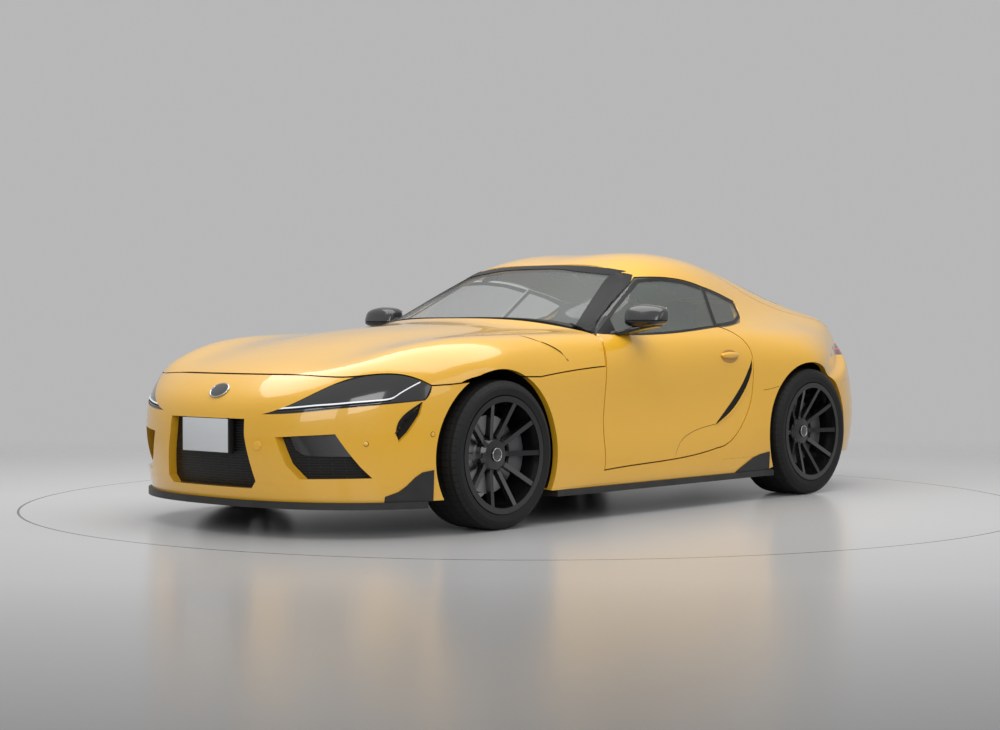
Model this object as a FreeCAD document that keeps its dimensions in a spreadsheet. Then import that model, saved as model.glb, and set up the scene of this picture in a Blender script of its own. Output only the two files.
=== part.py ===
"""Two-seat coupe car: body panels cut from one drawn skin, cabin, running gear and joints."""
import FreeCAD, Part
import os
from math import cos, pi, radians, sin, sqrt

V = FreeCAD.Vector
doc = FreeCAD.newDocument("coupe")

# Driving sizes in millimetres and degrees
SIZES = {
    "overall_length": 4380,
    "overall_width": 1865,
    "overall_height": 1290,
    "wheelbase": 2470,
    "front_overhang": 925,
    "track": 1600,
    "front_tyre_radius": 330,
    "front_tyre_width": 255,
    "rear_tyre_radius": 337,
    "rear_tyre_width": 275,
    "bead_radius": 243,
    "rim_lip_radius": 260,
    "rim_wall": 9,
    "spoke_count": 10,
    "spoke_width": 22,
    "disc_radius": 174,
    "disc_thickness": 32,
    "stub_radius": 35,
    "arch_radius": 378,
    "liner_radius": 402,
    "liner_wall": 4,
    "kingpin_inset": 80,
    "shut_gap": 6,
    "seam_gap": 0.6,
    "seat_gap": 0.3,
    "panel_wall": 30,
    "bumper_wall": 42,
    "pillar_wall": 60,
    "door_depth": 105,
    "glass_wall": 5,
    "glass_inset": 3,
    "floor_bottom": 160,
    "floor_wall": 35,
    "steering_wheel_radius": 185,
    "seat_offset": 370,
    "lamp_depth": 70,
    "splitter_bottom": 122,
    "pad_drop": 12,
}
sheet = doc.addObject("Spreadsheet::Sheet", "Sizes")
for line, (alias, value) in enumerate(SIZES.items(), 1):
    sheet.set("A%d" % line, alias)
    sheet.set("B%d" % line, str(value))
    sheet.setAlias("B%d" % line, alias)
doc.recompute()


def size(alias):
    """Value of one cell of the sheet."""
    return float(sheet.get(alias))


# The lines plan is drawn at these marks, and moves with the driving sizes
DRAWN_HALF_LENGTH = 2190
DRAWN_FRONT_AXLE = 1265
DRAWN_REAR_AXLE = -1205
DRAWN_HALF_WIDTH = 932.5
DRAWN_HEIGHT = 1290

nose = size("overall_length") / 2
tail = -nose
front_axle = nose - size("front_overhang")
rear_axle = front_axle - size("wheelbase")
half_track = size("track") / 2
gap = size("shut_gap")
seam = size("seam_gap")
seat = size("seat_gap")


def along(x):
    """Real place of a drawn mark along the car."""
    marks = [
        (-DRAWN_HALF_LENGTH, tail), (DRAWN_REAR_AXLE, rear_axle),
        (DRAWN_FRONT_AXLE, front_axle), (DRAWN_HALF_LENGTH, nose),
    ]
    for (drawn_a, real_a), (drawn_b, real_b) in zip(marks, marks[1:]):
        if x <= drawn_b or drawn_b == DRAWN_HALF_LENGTH:
            return real_a + (x - drawn_a) * (real_b - real_a) / (drawn_b - drawn_a)


def across(y):
    """Real place of a drawn mark across the car."""
    return y * size("overall_width") / 2 / DRAWN_HALF_WIDTH


def up(z):
    """Real height of a drawn mark."""
    return z * size("overall_height") / DRAWN_HEIGHT


# Lines plan: thirteen lines from the centre of the car out to the sill
LINES = 13


def nose_sweep():
    """How far each line of a bumper row is drawn back to the axle."""
    return [1 - cos(j * pi / 24) ** 0.8 for j in range(LINES)]


def ring(half_width):
    """Half widths of the lines round a bumper."""
    return [half_width * sin(j * pi / 24) ** 0.8 for j in range(LINES)]


WING_SWEEP = [0, 0, 0, 0, .02, .05, .104, .182, .312, .494, .675, .844, 1]


def swept(x, share, axle, widths, heights):
    """Row that starts at x on the centre line and is gathered at the axle."""
    row = []
    for drawn_back, wing, y, z in zip(nose_sweep(), WING_SWEEP, widths, heights):
        weight = (1 - share) * drawn_back + share * wing
        row.append((x - (x - axle) * weight, y, z))
    return row


def gathered(x, share, axle, points):
    """Swept row given as pairs of half width and height."""
    return swept(x, share, axle, [y for y, z in points], [z for y, z in points])


def section(x, points):
    """Straight cross section at x."""
    return [(x, y, z) for y, z in points]


FRONT_ROWS = [
    swept(2160, 0, 1265, ring(906), [150] * LINES),
    swept(2196, 0, 1265, ring(908), [290] * LINES),
    swept(2204, 0, 1265, ring(908), [430] * LINES),
    swept(2188, 0, 1265, ring(908), [560, 560, 562, 566, 571, 577, 582, 586, 587, 583, 577, 570, 565]),
    swept(2102, 0, 1265, ring(908), [645, 645, 646, 650, 656, 663, 668, 666, 656, 644, 632, 621, 612]),
    gathered(2000, .2, 1265, [
        (0, 706), (182, 705), (320, 702), (440, 704), (540, 712), (625, 720), (700, 718),
        (762, 705), (815, 690), (858, 675), (890, 660), (905, 648), (908, 640)]),
    gathered(1850, .5, 1265, [
        (0, 762), (186, 760), (335, 752), (460, 748), (560, 756), (645, 764), (720, 756),
        (785, 730), (835, 708), (872, 690), (897, 674), (908, 660), (908, 650)]),
    gathered(1650, 1, 1265, [
        (0, 815), (190, 813), (345, 800), (475, 795), (575, 803), (665, 813), (745, 805),
        (808, 772), (858, 735), (890, 706), (905, 686), (910, 670), (910, 658)]),
    gathered(1450, 1, 1265, [
        (0, 853), (190, 851), (350, 836), (480, 826), (585, 832), (680, 844), (765, 836),
        (835, 803), (888, 752), (908, 716), (913, 694), (914, 676), (914, 662)]),
]
CABIN_ROWS = [
    section(1265, [
        (0, 878), (192, 876), (352, 860), (485, 846), (590, 846), (690, 856), (775, 852),
        (850, 820), (903, 755), (914, 715), (916, 695), (916, 678), (916, 664)]),
    section(1060, [
        (0, 898), (195, 894), (355, 880), (490, 864), (595, 860), (690, 862), (770, 856),
        (850, 824), (900, 740), (912, 600), (915, 440), (918, 290), (908, 150)]),
    section(860, [
        (0, 912), (200, 908), (365, 894), (500, 876), (600, 868), (690, 868), (770, 860),
        (848, 824), (894, 706), (898, 580), (900, 430), (910, 290), (905, 150)]),
    section(680, [
        (0, 924), (200, 919), (370, 904), (505, 886), (605, 876), (695, 872), (775, 863),
        (846, 826), (888, 712), (888, 580), (890, 430), (904, 290), (900, 150)]),
    section(520, [
        (0, 985), (200, 979), (385, 958), (530, 922), (630, 893), (705, 876), (778, 864),
        (845, 828), (884, 718), (880, 585), (882, 430), (902, 280), (898, 150)]),
    section(380, [
        (0, 1052), (200, 1046), (390, 1026), (545, 985), (645, 930), (712, 890), (776, 866),
        (845, 826), (882, 720), (878, 588), (880, 430), (902, 282), (898, 150)]),
    section(220, [
        (0, 1120), (200, 1114), (390, 1094), (545, 1050), (640, 990), (712, 925), (778, 872),
        (845, 828), (882, 720), (876, 590), (878, 430), (902, 284), (898, 150)]),
    section(60, [
        (0, 1184), (200, 1180), (385, 1162), (540, 1116), (630, 1056), (705, 966), (778, 876),
        (843, 830), (880, 722), (875, 592), (877, 432), (902, 287), (898, 150)]),
    section(-100, [
        (0, 1238), (200, 1240), (380, 1228), (530, 1185), (615, 1125), (698, 1003), (778, 884),
        (842, 836), (878, 728), (873, 596), (875, 434), (901, 290), (898, 150)]),
    section(-300, [
        (0, 1275), (200, 1286), (375, 1278), (520, 1234), (600, 1168), (690, 1030), (776, 890),
        (841, 842), (877, 734), (872, 600), (875, 438), (901, 295), (898, 150)]),
    section(-520, [
        (0, 1285), (200, 1297), (365, 1289), (502, 1242), (582, 1170), (678, 1030), (768, 893),
        (838, 848), (876, 740), (872, 608), (878, 445), (903, 300), (900, 150)]),
    section(-740, [
        (0, 1275), (200, 1286), (352, 1276), (485, 1227), (560, 1148), (650, 1018), (748, 902),
        (830, 858), (884, 752), (888, 620), (895, 455), (910, 308), (904, 150)]),
    section(-960, [
        (0, 1248), (195, 1256), (340, 1243), (460, 1188), (533, 1108), (615, 992), (722, 905),
        (820, 866), (900, 770), (915, 640), (920, 465), (920, 310), (905, 150)]),
    section(-1205, [
        (0, 1200), (190, 1206), (325, 1190), (435, 1136), (512, 1060), (592, 970), (700, 905),
        (812, 866), (898, 790), (924, 735), (930, 710), (930, 692), (928, 676)]),
]
REAR_ROWS = [
    gathered(-1400, 1, -1205, [
        (0, 1150), (188, 1155), (316, 1140), (423, 1090), (505, 1022), (590, 955), (695, 904),
        (803, 862), (890, 775), (918, 722), (926, 697), (928, 680), (928, 666)]),
    gathered(-1590, 1, -1205, [
        (0, 1090), (186, 1093), (312, 1080), (425, 1042), (510, 990), (592, 942), (685, 896),
        (780, 850), (860, 768), (900, 712), (918, 682), (926, 664), (928, 652)]),
    gathered(-1760, .8, -1205, [
        (0, 1034), (186, 1036), (318, 1026), (438, 1000), (528, 966), (598, 934), (668, 890),
        (745, 835), (815, 760), (868, 706), (902, 672), (920, 650), (928, 636)]),
    gathered(-1910, .5, -1205, [
        (0, 996), (186, 997), (330, 990), (450, 976), (530, 955), (592, 926), (650, 880),
        (712, 822), (775, 752), (835, 700), (882, 664), (912, 640), (928, 622)]),
    gathered(-2050, .3, -1205, [
        (0, 985), (186, 983), (330, 972), (440, 955), (515, 930), (575, 895), (630, 850),
        (690, 795), (752, 735), (812, 690), (866, 655), (906, 630), (928, 610)]),
    gathered(-2085, .2, -1205, [
        (0, 955), (184, 953), (325, 942), (432, 922), (508, 895), (570, 858), (630, 815),
        (690, 768), (752, 715), (812, 672), (866, 640), (906, 615), (928, 595)]),
    swept(-2090, 0, -1205, ring(928), [870, 869, 862, 848, 828, 800, 766, 730, 690, 652, 620, 594, 574]),
    swept(-2125, 0, -1205, ring(930), [760, 760, 756, 748, 734, 715, 690, 660, 630, 600, 574, 552, 535]),
    swept(-2170, 0, -1205, ring(932), [620, 620, 618, 613, 604, 592, 577, 560, 542, 524, 508, 494, 482]),
    swept(-2202, 0, -1205, ring(932), [480, 480, 480, 478, 474, 468, 460, 450, 440, 430, 420, 412, 405]),
    swept(-2185, 0, -1205, ring(930), [320] * LINES),
    swept(-2120, 0, -1205, ring(925), [210] * LINES),
]
SKIN_ROWS = FRONT_ROWS + CABIN_ROWS + REAR_ROWS
FIRST_CABIN_ROW = len(FRONT_ROWS)
LAST_ROW = len(SKIN_ROWS) - 1


def real_net(full):
    """Poles of the skin at real size, of the left half or of both halves."""
    net = []
    for row in SKIN_ROWS:
        left = [V(along(x), across(y), up(z)) for x, y, z in row]
        right = [V(p.x, -p.y, p.z) for p in reversed(left[1:])]
        net.append(right + left if full else left)
    return net


def inward(net, i, j, full):
    """Unit direction into the car at one pole."""
    last_i = len(net) - 1
    last_j = len(net[0]) - 1
    run = net[min(i + 1, last_i)][j] - net[max(i - 1, 0)][j]
    if not full and j == 0:
        neighbour = net[i][1]
        rise = neighbour - V(neighbour.x, -neighbour.y, neighbour.z)
    else:
        rise = net[i][min(j + 1, last_j)] - net[i][max(j - 1, 0)]
    normal = run.cross(rise)
    if normal.Length < 1:
        return V(0, -1 if net[i][j].y > 0 else 1, 0)
    return normal.normalize()


def skin_surface(depth, full):
    """Smooth surface that lies a depth inside the drawn skin."""
    outer = real_net(full)
    rows = range(len(outer))
    columns = range(len(outer[0]))
    poles = [[outer[i][j] + inward(outer, i, j, full) * depth for j in columns] for i in rows]
    knots = [list(range(len(rows) - 2)), list(range(len(columns) - 2))]
    repeats = [[4] + [1] * (len(each) - 2) + [4] for each in knots]
    surface = Part.BSplineSurface()
    surface.buildFromPolesMultsKnots(poles, repeats[0], repeats[1], knots[0], knots[1], False, False, 3, 3)
    return surface


def window(surface, rows, columns):
    """Stretch of a skin surface between two rows and two columns of its net."""
    part = surface.copy()
    u0, u1, v0, v1 = part.bounds()
    low_u = max(u0, min(u1, rows[0] - 1))
    high_u = max(u0, min(u1, rows[1] - 1))
    low_v = max(v0, min(v1, columns[0] - 1))
    high_v = max(v0, min(v1, columns[1] - 1))
    part.segment(low_u, high_u, low_v, high_v)
    return part


def slab(name, shallow, deep, rows, columns, full=False):
    """Solid layer of the skin between two depths."""
    outer = window(skin_surface(shallow, full), rows, columns)
    inner = window(skin_surface(deep, full), rows, columns)
    u0, u1, v0, v1 = outer.bounds()
    faces = [outer.toShape(), inner.toShape()]
    for one, other in (
        (outer.uIso(u0), inner.uIso(u0)), (outer.uIso(u1), inner.uIso(u1)),
        (outer.vIso(v0), inner.vIso(v0)), (outer.vIso(v1), inner.vIso(v1)),
    ):
        faces.append(Part.makeRuledSurface(one.toShape(), other.toShape()))
    shell = Part.Compound(faces)
    shell.sewShape()
    solid = Part.Solid(shell.Shells[0] if shell.Shells else Part.Shell(faces))
    if solid.Volume < 0:
        solid.reverse()
    layer = doc.addObject("Part::Feature", name)
    layer.Shape = solid
    return layer


PLANES = {
    "side": FreeCAD.Rotation(V(1, 0, 0), V(0, 0, 1), V(0, -1, 0), "XYZ"),
    "plan": FreeCAD.Rotation(),
    "front": FreeCAD.Rotation(V(0, 1, 0), V(0, 0, 1), V(1, 0, 0), "XYZ"),
}
NORMALS = {"side": V(0, 1, 0), "plan": V(0, 0, 1), "front": V(1, 0, 0)}
CORNER_ANGLES = {"front_corner": 50, "rear_corner": 130}
for corner, angle in CORNER_ANGLES.items():
    NORMALS[corner] = V(cos(radians(angle)), sin(radians(angle)), 0)
    PLANES[corner] = FreeCAD.Rotation(
        V(-sin(radians(angle)), cos(radians(angle)), 0), V(0, 0, 1), NORMALS[corner], "XYZ")


def drawn(plane, point):
    """Drawn point at real size in a plane."""
    if plane in CORNER_ANGLES:
        x, y, z = point
        normal = NORMALS[plane]
        return V(across(y) * normal.x - along(x) * normal.y, up(z), 0)
    a, b = point
    if plane == "side":
        return V(along(a), up(b), 0)
    if plane == "plan":
        return V(along(a), across(b), 0)
    return V(across(a), up(b), 0)


OUTLINES = {}


def outline(name, plane, runs, real=False):
    """Closed sketch of runs: two points make a line and more make a smooth curve."""
    sketch = doc.addObject("Sketcher::SketchObject", name)
    sketch.Placement = FreeCAD.Placement(V(0, 0, 0), PLANES[plane])
    sized = [[V(point[0], point[1], 0) if real else drawn(plane, point) for point in run] for run in runs]
    for points in sized:
        if len(points) == 2:
            sketch.addGeometry(Part.LineSegment(points[0], points[1]))
        else:
            curve = Part.BSplineCurve()
            curve.interpolate(points)
            sketch.addGeometry(curve)
    OUTLINES[sketch.Name] = (plane, sized)
    return sketch


def polygon(name, plane, points, real=False):
    """Closed sketch of straight lines."""
    return outline(name, plane, closed(points), real)


def closed(points):
    """Runs of straight lines round a list of points."""
    return [[a, b] for a, b in zip(points, points[1:] + points[:1])]


def side_step(before, after):
    """Unit step to the right of the way from one point to another."""
    way = after - before
    return V(way.y, -way.x, 0).normalize()


def grown(sketch, amount):
    """Outline moved out by a clearance, or in by a negative one."""
    plane, runs = OUTLINES[sketch.Name]
    loop = [point for run in runs for point in run[:-1]]
    turn = sum(a.x * b.y - b.x * a.y for a, b in zip(loop, loop[1:] + loop[:1]))
    amount = amount if turn > 0 else -amount
    moved = []
    for index, run in enumerate(runs):
        earlier = runs[index - 1]
        later = runs[(index + 1) % len(runs)]
        points = []
        for k, point in enumerate(run):
            start_side = side_step(run[k - 1], point) if k else side_step(earlier[-2], earlier[-1])
            end_side = side_step(point, run[k + 1]) if k < len(run) - 1 else side_step(later[0], later[1])
            total = start_side + end_side
            points.append(point + total * (2 * amount / total.dot(total)))
        moved.append([(p.x, p.y) for p in points])
    return outline(sketch.Name + "_clear", plane, moved, real=True)


def prism(name, source, plane, start, end):
    """Outline extruded square to its plane from start to end."""
    body = doc.addObject("Part::Extrusion", name)
    body.Base = source
    body.DirMode = "Custom"
    body.Dir = NORMALS[plane]
    body.LengthFwd = end
    body.LengthRev = -start
    body.Solid = True
    return body


def common(name, base, tool):
    """What two solids share."""
    result = doc.addObject("Part::Common", name)
    result.Base = base
    result.Tool = tool
    return result


def cut(name, base, *tools):
    """Base less each tool."""
    for index, tool in enumerate(tools):
        result = doc.addObject("Part::Cut", "%s_cut%d" % (name, index))
        result.Base = base
        result.Tool = tool
        base = result
    return base


def fuse(name, *shapes):
    """Shapes joined into one solid."""
    result = doc.addObject("Part::MultiFuse", name)
    result.Shapes = list(shapes)
    return result


def together(name, *shapes):
    """Like pieces kept apart under one name."""
    result = doc.addObject("Part::Compound", name)
    result.Links = list(shapes)
    return result


def mirrored(name, source):
    """Right-hand twin of a left-hand piece."""
    twin = doc.addObject("Part::Mirroring", name)
    twin.Source = source
    twin.Normal = V(0, 1, 0)
    return twin


def box(name, corner, other):
    """Box between two corners."""
    block = doc.addObject("Part::Box", name)
    low = V(min(corner[0], other[0]), min(corner[1], other[1]), min(corner[2], other[2]))
    block.Length = abs(other[0] - corner[0])
    block.Width = abs(other[1] - corner[1])
    block.Height = abs(other[2] - corner[2])
    block.Placement = FreeCAD.Placement(low, FreeCAD.Rotation())
    return block


def cylinder(name, radius, start, end):
    """Round bar between two points."""
    start = V(*start)
    end = V(*end)
    bar = doc.addObject("Part::Cylinder", name)
    bar.Radius = radius
    bar.Height = (end - start).Length
    bar.Placement = FreeCAD.Placement(start, FreeCAD.Rotation(V(0, 0, 1), end - start))
    return bar


NODES = {}


def piece(name, source):
    """Names a sub-part."""
    source.Label = name
    NODES[name] = source
    return source


reach = size("overall_width") / 2 + 120
ceiling = size("overall_height") + 100

# Shut lines, drawn in side view as pairs of length and height
DOOR_FRONT = [(534, 226), (527, 269), (529, 410), (513, 550), (492, 714), (475, 800), (440, 862)]
DOOR_BELT = [(440, 862), (152, 854), (-179, 866), (-520, 892)]
DOOR_BACK = [(-520, 892), (-640, 862), (-702, 790), (-710, 690), (-700, 595), (-673, 500),
             (-600, 400), (-500, 322), (-380, 289)]
DOOR_FOOT = [(-380, 289), (-225, 267), (186, 242), (534, 226)]
door_outline = outline("door_outline", "side", [DOOR_FRONT, DOOR_BELT, DOOR_BACK, DOOR_FOOT])
door_prism = prism("door_prism", door_outline, "side", 0, reach)
door_room = prism("door_room", grown(door_outline, gap), "side", 0, reach)

GLASS_FRONT = [(440, 862), (-105, 1148)]
GLASS_TOP = [(-105, 1148), (-282, 1152), (-460, 1143), (-640, 1112)]
GLASS_BACK = [(-640, 1112), (-520, 892)]
SIDE_GLASS_TAIL = [(-640, 1112), (-800, 1080), (-960, 1035)]
SIDE_GLASS_CORNER = [(-960, 1035), (-900, 960), (-770, 912)]
SIDE_GLASS_FOOT = [(-770, 912), (-660, 899), (-520, 892)]
side_light = outline("side_light", "side", [
    GLASS_FRONT, GLASS_TOP, SIDE_GLASS_TAIL, SIDE_GLASS_CORNER, SIDE_GLASS_FOOT, DOOR_BELT[::-1]])
side_light_room = prism("side_light_room", side_light, "side", -reach, reach)
GLASS_SILL = [(-508, 870), (-179, 844), (152, 832), (482, 840)]
door_glass_outline = outline("door_glass_outline", "side", [
    [GLASS_SILL[-1], GLASS_FRONT[1]], GLASS_TOP, [GLASS_BACK[0], GLASS_SILL[0]], GLASS_SILL])
quarter_glass_outline = outline("quarter_glass_outline", "side", [
    GLASS_BACK[::-1], SIDE_GLASS_TAIL, SIDE_GLASS_CORNER, SIDE_GLASS_FOOT])

BONNET_SIDE = [(2300, 688), (1995, 690)]
BONNET_LAMP = [(1995, 690), (1960, 683), (1855, 693), (1744, 688), (1690, 667), (1651, 645)]
BONNET_WING = [(1651, 645), (1565, 649), (1461, 658), (1347, 678)]
BONNET_ARCH = [(1347, 678), (997, 672)]
BONNET_SILL = [(997, 672), (852, 687), (546, 710), (505, 712)]
BONNET_BACK = [(505, 712), (490, 800), (470, 866), (450, 1000)]
BONNET_LID = [(450, 1000), (2300, 1000)]
BONNET_END = [(2300, 1000), (2300, 688)]
bonnet_outline = outline("bonnet_outline", "side", [
    BONNET_SIDE, BONNET_LAMP, BONNET_WING, BONNET_ARCH, BONNET_SILL, BONNET_BACK, BONNET_LID, BONNET_END])
bonnet_prism = prism("bonnet_prism", bonnet_outline, "side", -reach, reach)
bonnet_room = prism("bonnet_room", grown(bonnet_outline, gap), "side", -reach, reach)

# Windscreen, roof and hatch, drawn in plan
SCREEN_HALF_BASE = [(622, 0), (605, 180), (560, 380), (500, 540), (430, 690)]
SCREEN_SIDE = [(430, 690), (240, 650), (-40, 555)]
SCREEN_HALF_TOP = [(-40, 555), (-62, 400), (-52, 200), (-42, 0)]


def flipped(run):
    """Run mirrored to the right half and turned round."""
    return [(a, -b) for a, b in reversed(run)]


screen_outline = outline("screen_outline", "plan", [
    flipped(SCREEN_HALF_BASE) + SCREEN_HALF_BASE[1:], SCREEN_SIDE,
    SCREEN_HALF_TOP + flipped(SCREEN_HALF_TOP)[1:], flipped(SCREEN_SIDE)])
screen_prism = prism("screen_prism", screen_outline, "plan", up(600), ceiling)
screen_room = prism("screen_room", grown(screen_outline, seam), "plan", up(600), ceiling)

HATCH_HALF_TOP = [(-752, 0), (-756, 200), (-775, 400)]
HATCH_SIDE = [(-775, 400), (-950, 450), (-1300, 500), (-1650, 545), (-1900, 575), (-2010, 570)]
HATCH_CORNER = [(-2010, 570), (-2300, 570)]
hatch_outline = outline("hatch_outline", "plan", [
    flipped(HATCH_HALF_TOP) + HATCH_HALF_TOP[1:], HATCH_SIDE, HATCH_CORNER,
    [(-2300, 570), (-2300, -570)], flipped(HATCH_CORNER), flipped(HATCH_SIDE)])
hatch_floor = up(800)
hatch_prism = prism("hatch_prism", hatch_outline, "plan", hatch_floor, ceiling)
hatch_room = prism("hatch_room", grown(hatch_outline, gap), "plan", hatch_floor - gap, ceiling)
REAR_GLASS_TOP = [(-800, -360), (-790, 0), (-800, 360)]
REAR_GLASS_SIDE = [(-800, 360), (-1200, 420), (-1640, 455)]
REAR_GLASS_FOOT = [(-1640, 455), (-1665, 0), (-1640, -455)]
rear_glass_outline = outline("rear_glass_outline", "plan", [
    REAR_GLASS_TOP, REAR_GLASS_SIDE, REAR_GLASS_FOOT, flipped(REAR_GLASS_SIDE)])


def arch(name, axle, radius):
    """Round opening over an axle, through both sides."""
    return cylinder(name, radius, (axle, -reach, arch_height), (axle, reach, arch_height))


arch_height = up(330)
front_arch = arch("front_arch", front_axle, size("arch_radius"))
rear_arch = arch("rear_arch", rear_axle, size("arch_radius"))

# Bonnet: a clamshell down to the arches, open at the back for the screen
cowl_line = outline("cowl_line", "plan", [
    [(300, -960), (470, -960)],
    [(470, -960), (480, -800), (530, -640), (600, -400), (655, 0), (600, 400), (530, 640), (480, 800),
     (470, 960)],
    [(470, 960), (300, 960)], [(300, 960), (300, -960)]])
cowl_room = prism("cowl_room", cowl_line, "plan", up(560), ceiling)
wall = size("panel_wall")
bonnet_layer = slab("bonnet_layer", 0, wall, (4, 14), (2, 22), full=True)
bonnet_shell = cut("bonnet_shell", common("bonnet_blank", bonnet_layer, bonnet_prism), cowl_room, front_arch)

# Hinge lines: bonnet and hatch turn across the car, and the doors about a line that leans in
PIN_RADIUS = 4
PIN_PLAY = 0.05
HEAD_RADIUS = 8
KNUCKLE_RADIUS = 9
BONNET_HINGE = (496, 858)
BONNET_BRACKET = (692, 700)
BONNET_BOSS = (706, 726)


def bar_across(name, radius, place, start, end):
    """Round bar across the car at a drawn place, between two drawn half widths."""
    x, z = place
    return cylinder(name, radius, (along(x), across(start), up(z)), (along(x), across(end), up(z)))


bonnet_boss = bar_across("bonnet_boss", KNUCKLE_RADIUS, BONNET_HINGE, *BONNET_BOSS)
bonnet_bore = bar_across(
    "bonnet_bore", PIN_RADIUS + PIN_PLAY, BONNET_HINGE, BONNET_BOSS[0] - 1, BONNET_BOSS[1] + 1)
bonnet_pocket = bar_across(
    "bonnet_pocket", HEAD_RADIUS + gap, BONNET_HINGE, BONNET_BRACKET[0] - gap, BONNET_BOSS[0])
bonnet_tongue = box(
    "bonnet_tongue", (along(BONNET_HINGE[0]), across(BONNET_BOSS[0]), up(851)),
    (along(BONNET_HINGE[0] + 36), across(BONNET_BOSS[1]), up(864)))
bonnet_hook = fuse("bonnet_hook", bonnet_boss, bonnet_tongue)
bonnet_bosses = fuse("bonnet_bosses", bonnet_shell, bonnet_hook, mirrored("bonnet_hook_twin", bonnet_hook))
bonnet = cut(
    "bonnet", bonnet_bosses, bonnet_bore, mirrored("bonnet_bore_twin", bonnet_bore), bonnet_pocket,
    mirrored("bonnet_pocket_twin", bonnet_pocket))
piece("bonnet", bonnet)

# Front wings between bonnet, door, arch and sill
side_layer = slab("side_layer", 0, wall, (9, 22), (6, 12))
WING_FOOT = 160
wing_outline = polygon(
    "wing_outline", "side", [(1100, WING_FOOT), (1100, 760), (420, 760), (420, WING_FOOT)])
wing_prism = prism("wing_prism", wing_outline, "side", 0, reach)
FLANGE_DEPTH = 9
swing_layer = slab("swing_layer", FLANGE_DEPTH, wall + 5, (9, 22), (6, 12))
swing_room = common(
    "swing_room", swing_layer, prism("swing_block", grown(door_outline, 2 * gap), "side", 0, reach))
wing = cut(
    "wing", common("wing_blank", side_layer, wing_prism), door_room, swing_room, bonnet_room, front_arch)
piece("fender_left", wing)
piece("fender_right", mirrored("wing_twin", wing))

# Doors: an outer skin and a deep inner box behind it
door_layer = slab("door_layer", 0, wall, (11, 22), (5, 12))
door_core_layer = slab("door_core_layer", wall / 3, size("door_depth"), (11, 22), (5, 12))
core_outline = outline("core_outline", "side", [
    [(440, 250), (440, 838)], [(440, 838), (152, 832), (-179, 844), (-500, 868)],
    [(-500, 868), (-620, 836), (-680, 780), (-688, 690), (-678, 600), (-650, 508), (-582, 412), (-486, 338),
     (-380, 310)],
    [(-380, 310), (-225, 288), (186, 263), (440, 250)]])
core_prism = prism("core_prism", core_outline, "side", across(705), reach)
door_shell = fuse(
    "door_shell", common("door_blank", door_layer, door_prism), common(
        "core_blank", door_core_layer, core_prism))
DOOR_HINGE_X = 430
DOOR_HINGE_HEIGHTS = (470, 640)
BRACKET_HALF = 4
PIN_RISE = 34
NECK_HALF = 6
NECK_LENGTH = 102


def door_hinge(z):
    """Drawn point of the door's hinge line at a height; the line leans in as it rises."""
    return (DOOR_HINGE_X, 868.4 - 0.0597 * (z - 515.5), z)


def door_pin(name, radius, low, high):
    """Round bar on the door's hinge line between two drawn heights."""
    ends = [(along(x), across(y), up(z)) for x, y, z in (door_hinge(low), door_hinge(high))]
    return cylinder(name, radius, *ends)


door_cuts = []
for level, z in enumerate(DOOR_HINGE_HEIGHTS):
    x, y, z = door_hinge(z)
    half_height = BRACKET_HALF + gap
    door_cuts.append(box(
        "door_pocket_%d" % level, (along(x) - 18, across(y) - 145, up(z) - half_height),
        (along(x) + 125, across(y) + PIN_RADIUS + 4, up(z) + half_height)))
    door_cuts.append(
        door_pin("door_bore_%d" % level, PIN_RADIUS + PIN_PLAY, z + BRACKET_HALF, z + PIN_RISE + 2))
door = cut("door", door_shell, *door_cuts)
piece("door_panel_left", door)
piece("door_panel_right", mirrored("door_twin", door))

# Side glass sits just inside the skin
glass_in = size("glass_inset")
glass_out = glass_in + size("glass_wall")
side_glass_layer = slab("side_glass_layer", glass_in, glass_out, (12, 23), (3, 8))
door_glass_prism = prism("door_glass_prism", grown(door_glass_outline, -gap), "side", 0, reach)
door_seat = prism("door_seat", grown(door_outline, seat), "side", 0, reach)
door_glass = cut("door_glass", common("door_glass_blank", side_glass_layer, door_glass_prism), door_seat)
piece("door_glass_left", door_glass)
piece("door_glass_right", mirrored("door_glass_twin", door_glass))
quarter_glass_prism = prism("quarter_glass_prism", grown(quarter_glass_outline, -seam), "side", 0, reach)
quarter_glass = cut(
    "quarter_pane", common("quarter_pane_blank", side_glass_layer, quarter_glass_prism), door_room)
piece(
    "quarter_glass",
    together("quarter_glasses", quarter_glass, mirrored("quarter_glass_twin", quarter_glass)))

# Roof with its side rails, and the windscreen pillars below it
ROOF_FRONT = -30
ROOF_BACK = -900
roof_outline = polygon("roof_outline", "plan", [
    (ROOF_FRONT, 760), (ROOF_FRONT, -760), (ROOF_BACK, -760), (ROOF_BACK, 760)])
roof_prism = prism("roof_prism", roof_outline, "plan", up(1040), ceiling)
roof_layer = slab("roof_layer", 0, wall, (13, 23), (5, 19), full=True)
HATCH_HINGE = (-700, 1260)
HATCH_ARM = (240, 260)
hatch_pocket = box(
    "hatch_pocket", (along(HATCH_HINGE[0]) + 15, across(HATCH_ARM[0]) - 8, up(1200)),
    (along(HATCH_HINGE[0] - 90), across(HATCH_ARM[1]) + 8, up(HATCH_HINGE[1]) + 11))
roof_room = prism("roof_room", grown(hatch_outline, gap + 2), "plan", hatch_floor, ceiling)
hatch_pin = bar_across("hatch_pin", PIN_RADIUS, HATCH_HINGE, HATCH_ARM[0] - 14, HATCH_ARM[1] + 14)
roof_shell = cut(
    "roof_shell", common("roof_blank", roof_layer, roof_prism), screen_room, side_light_room, roof_room,
    hatch_pocket, mirrored("hatch_pocket_twin", hatch_pocket))
piece("roof", fuse("roof_panel", roof_shell, hatch_pin, mirrored("hatch_pin_twin", hatch_pin)))

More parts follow.
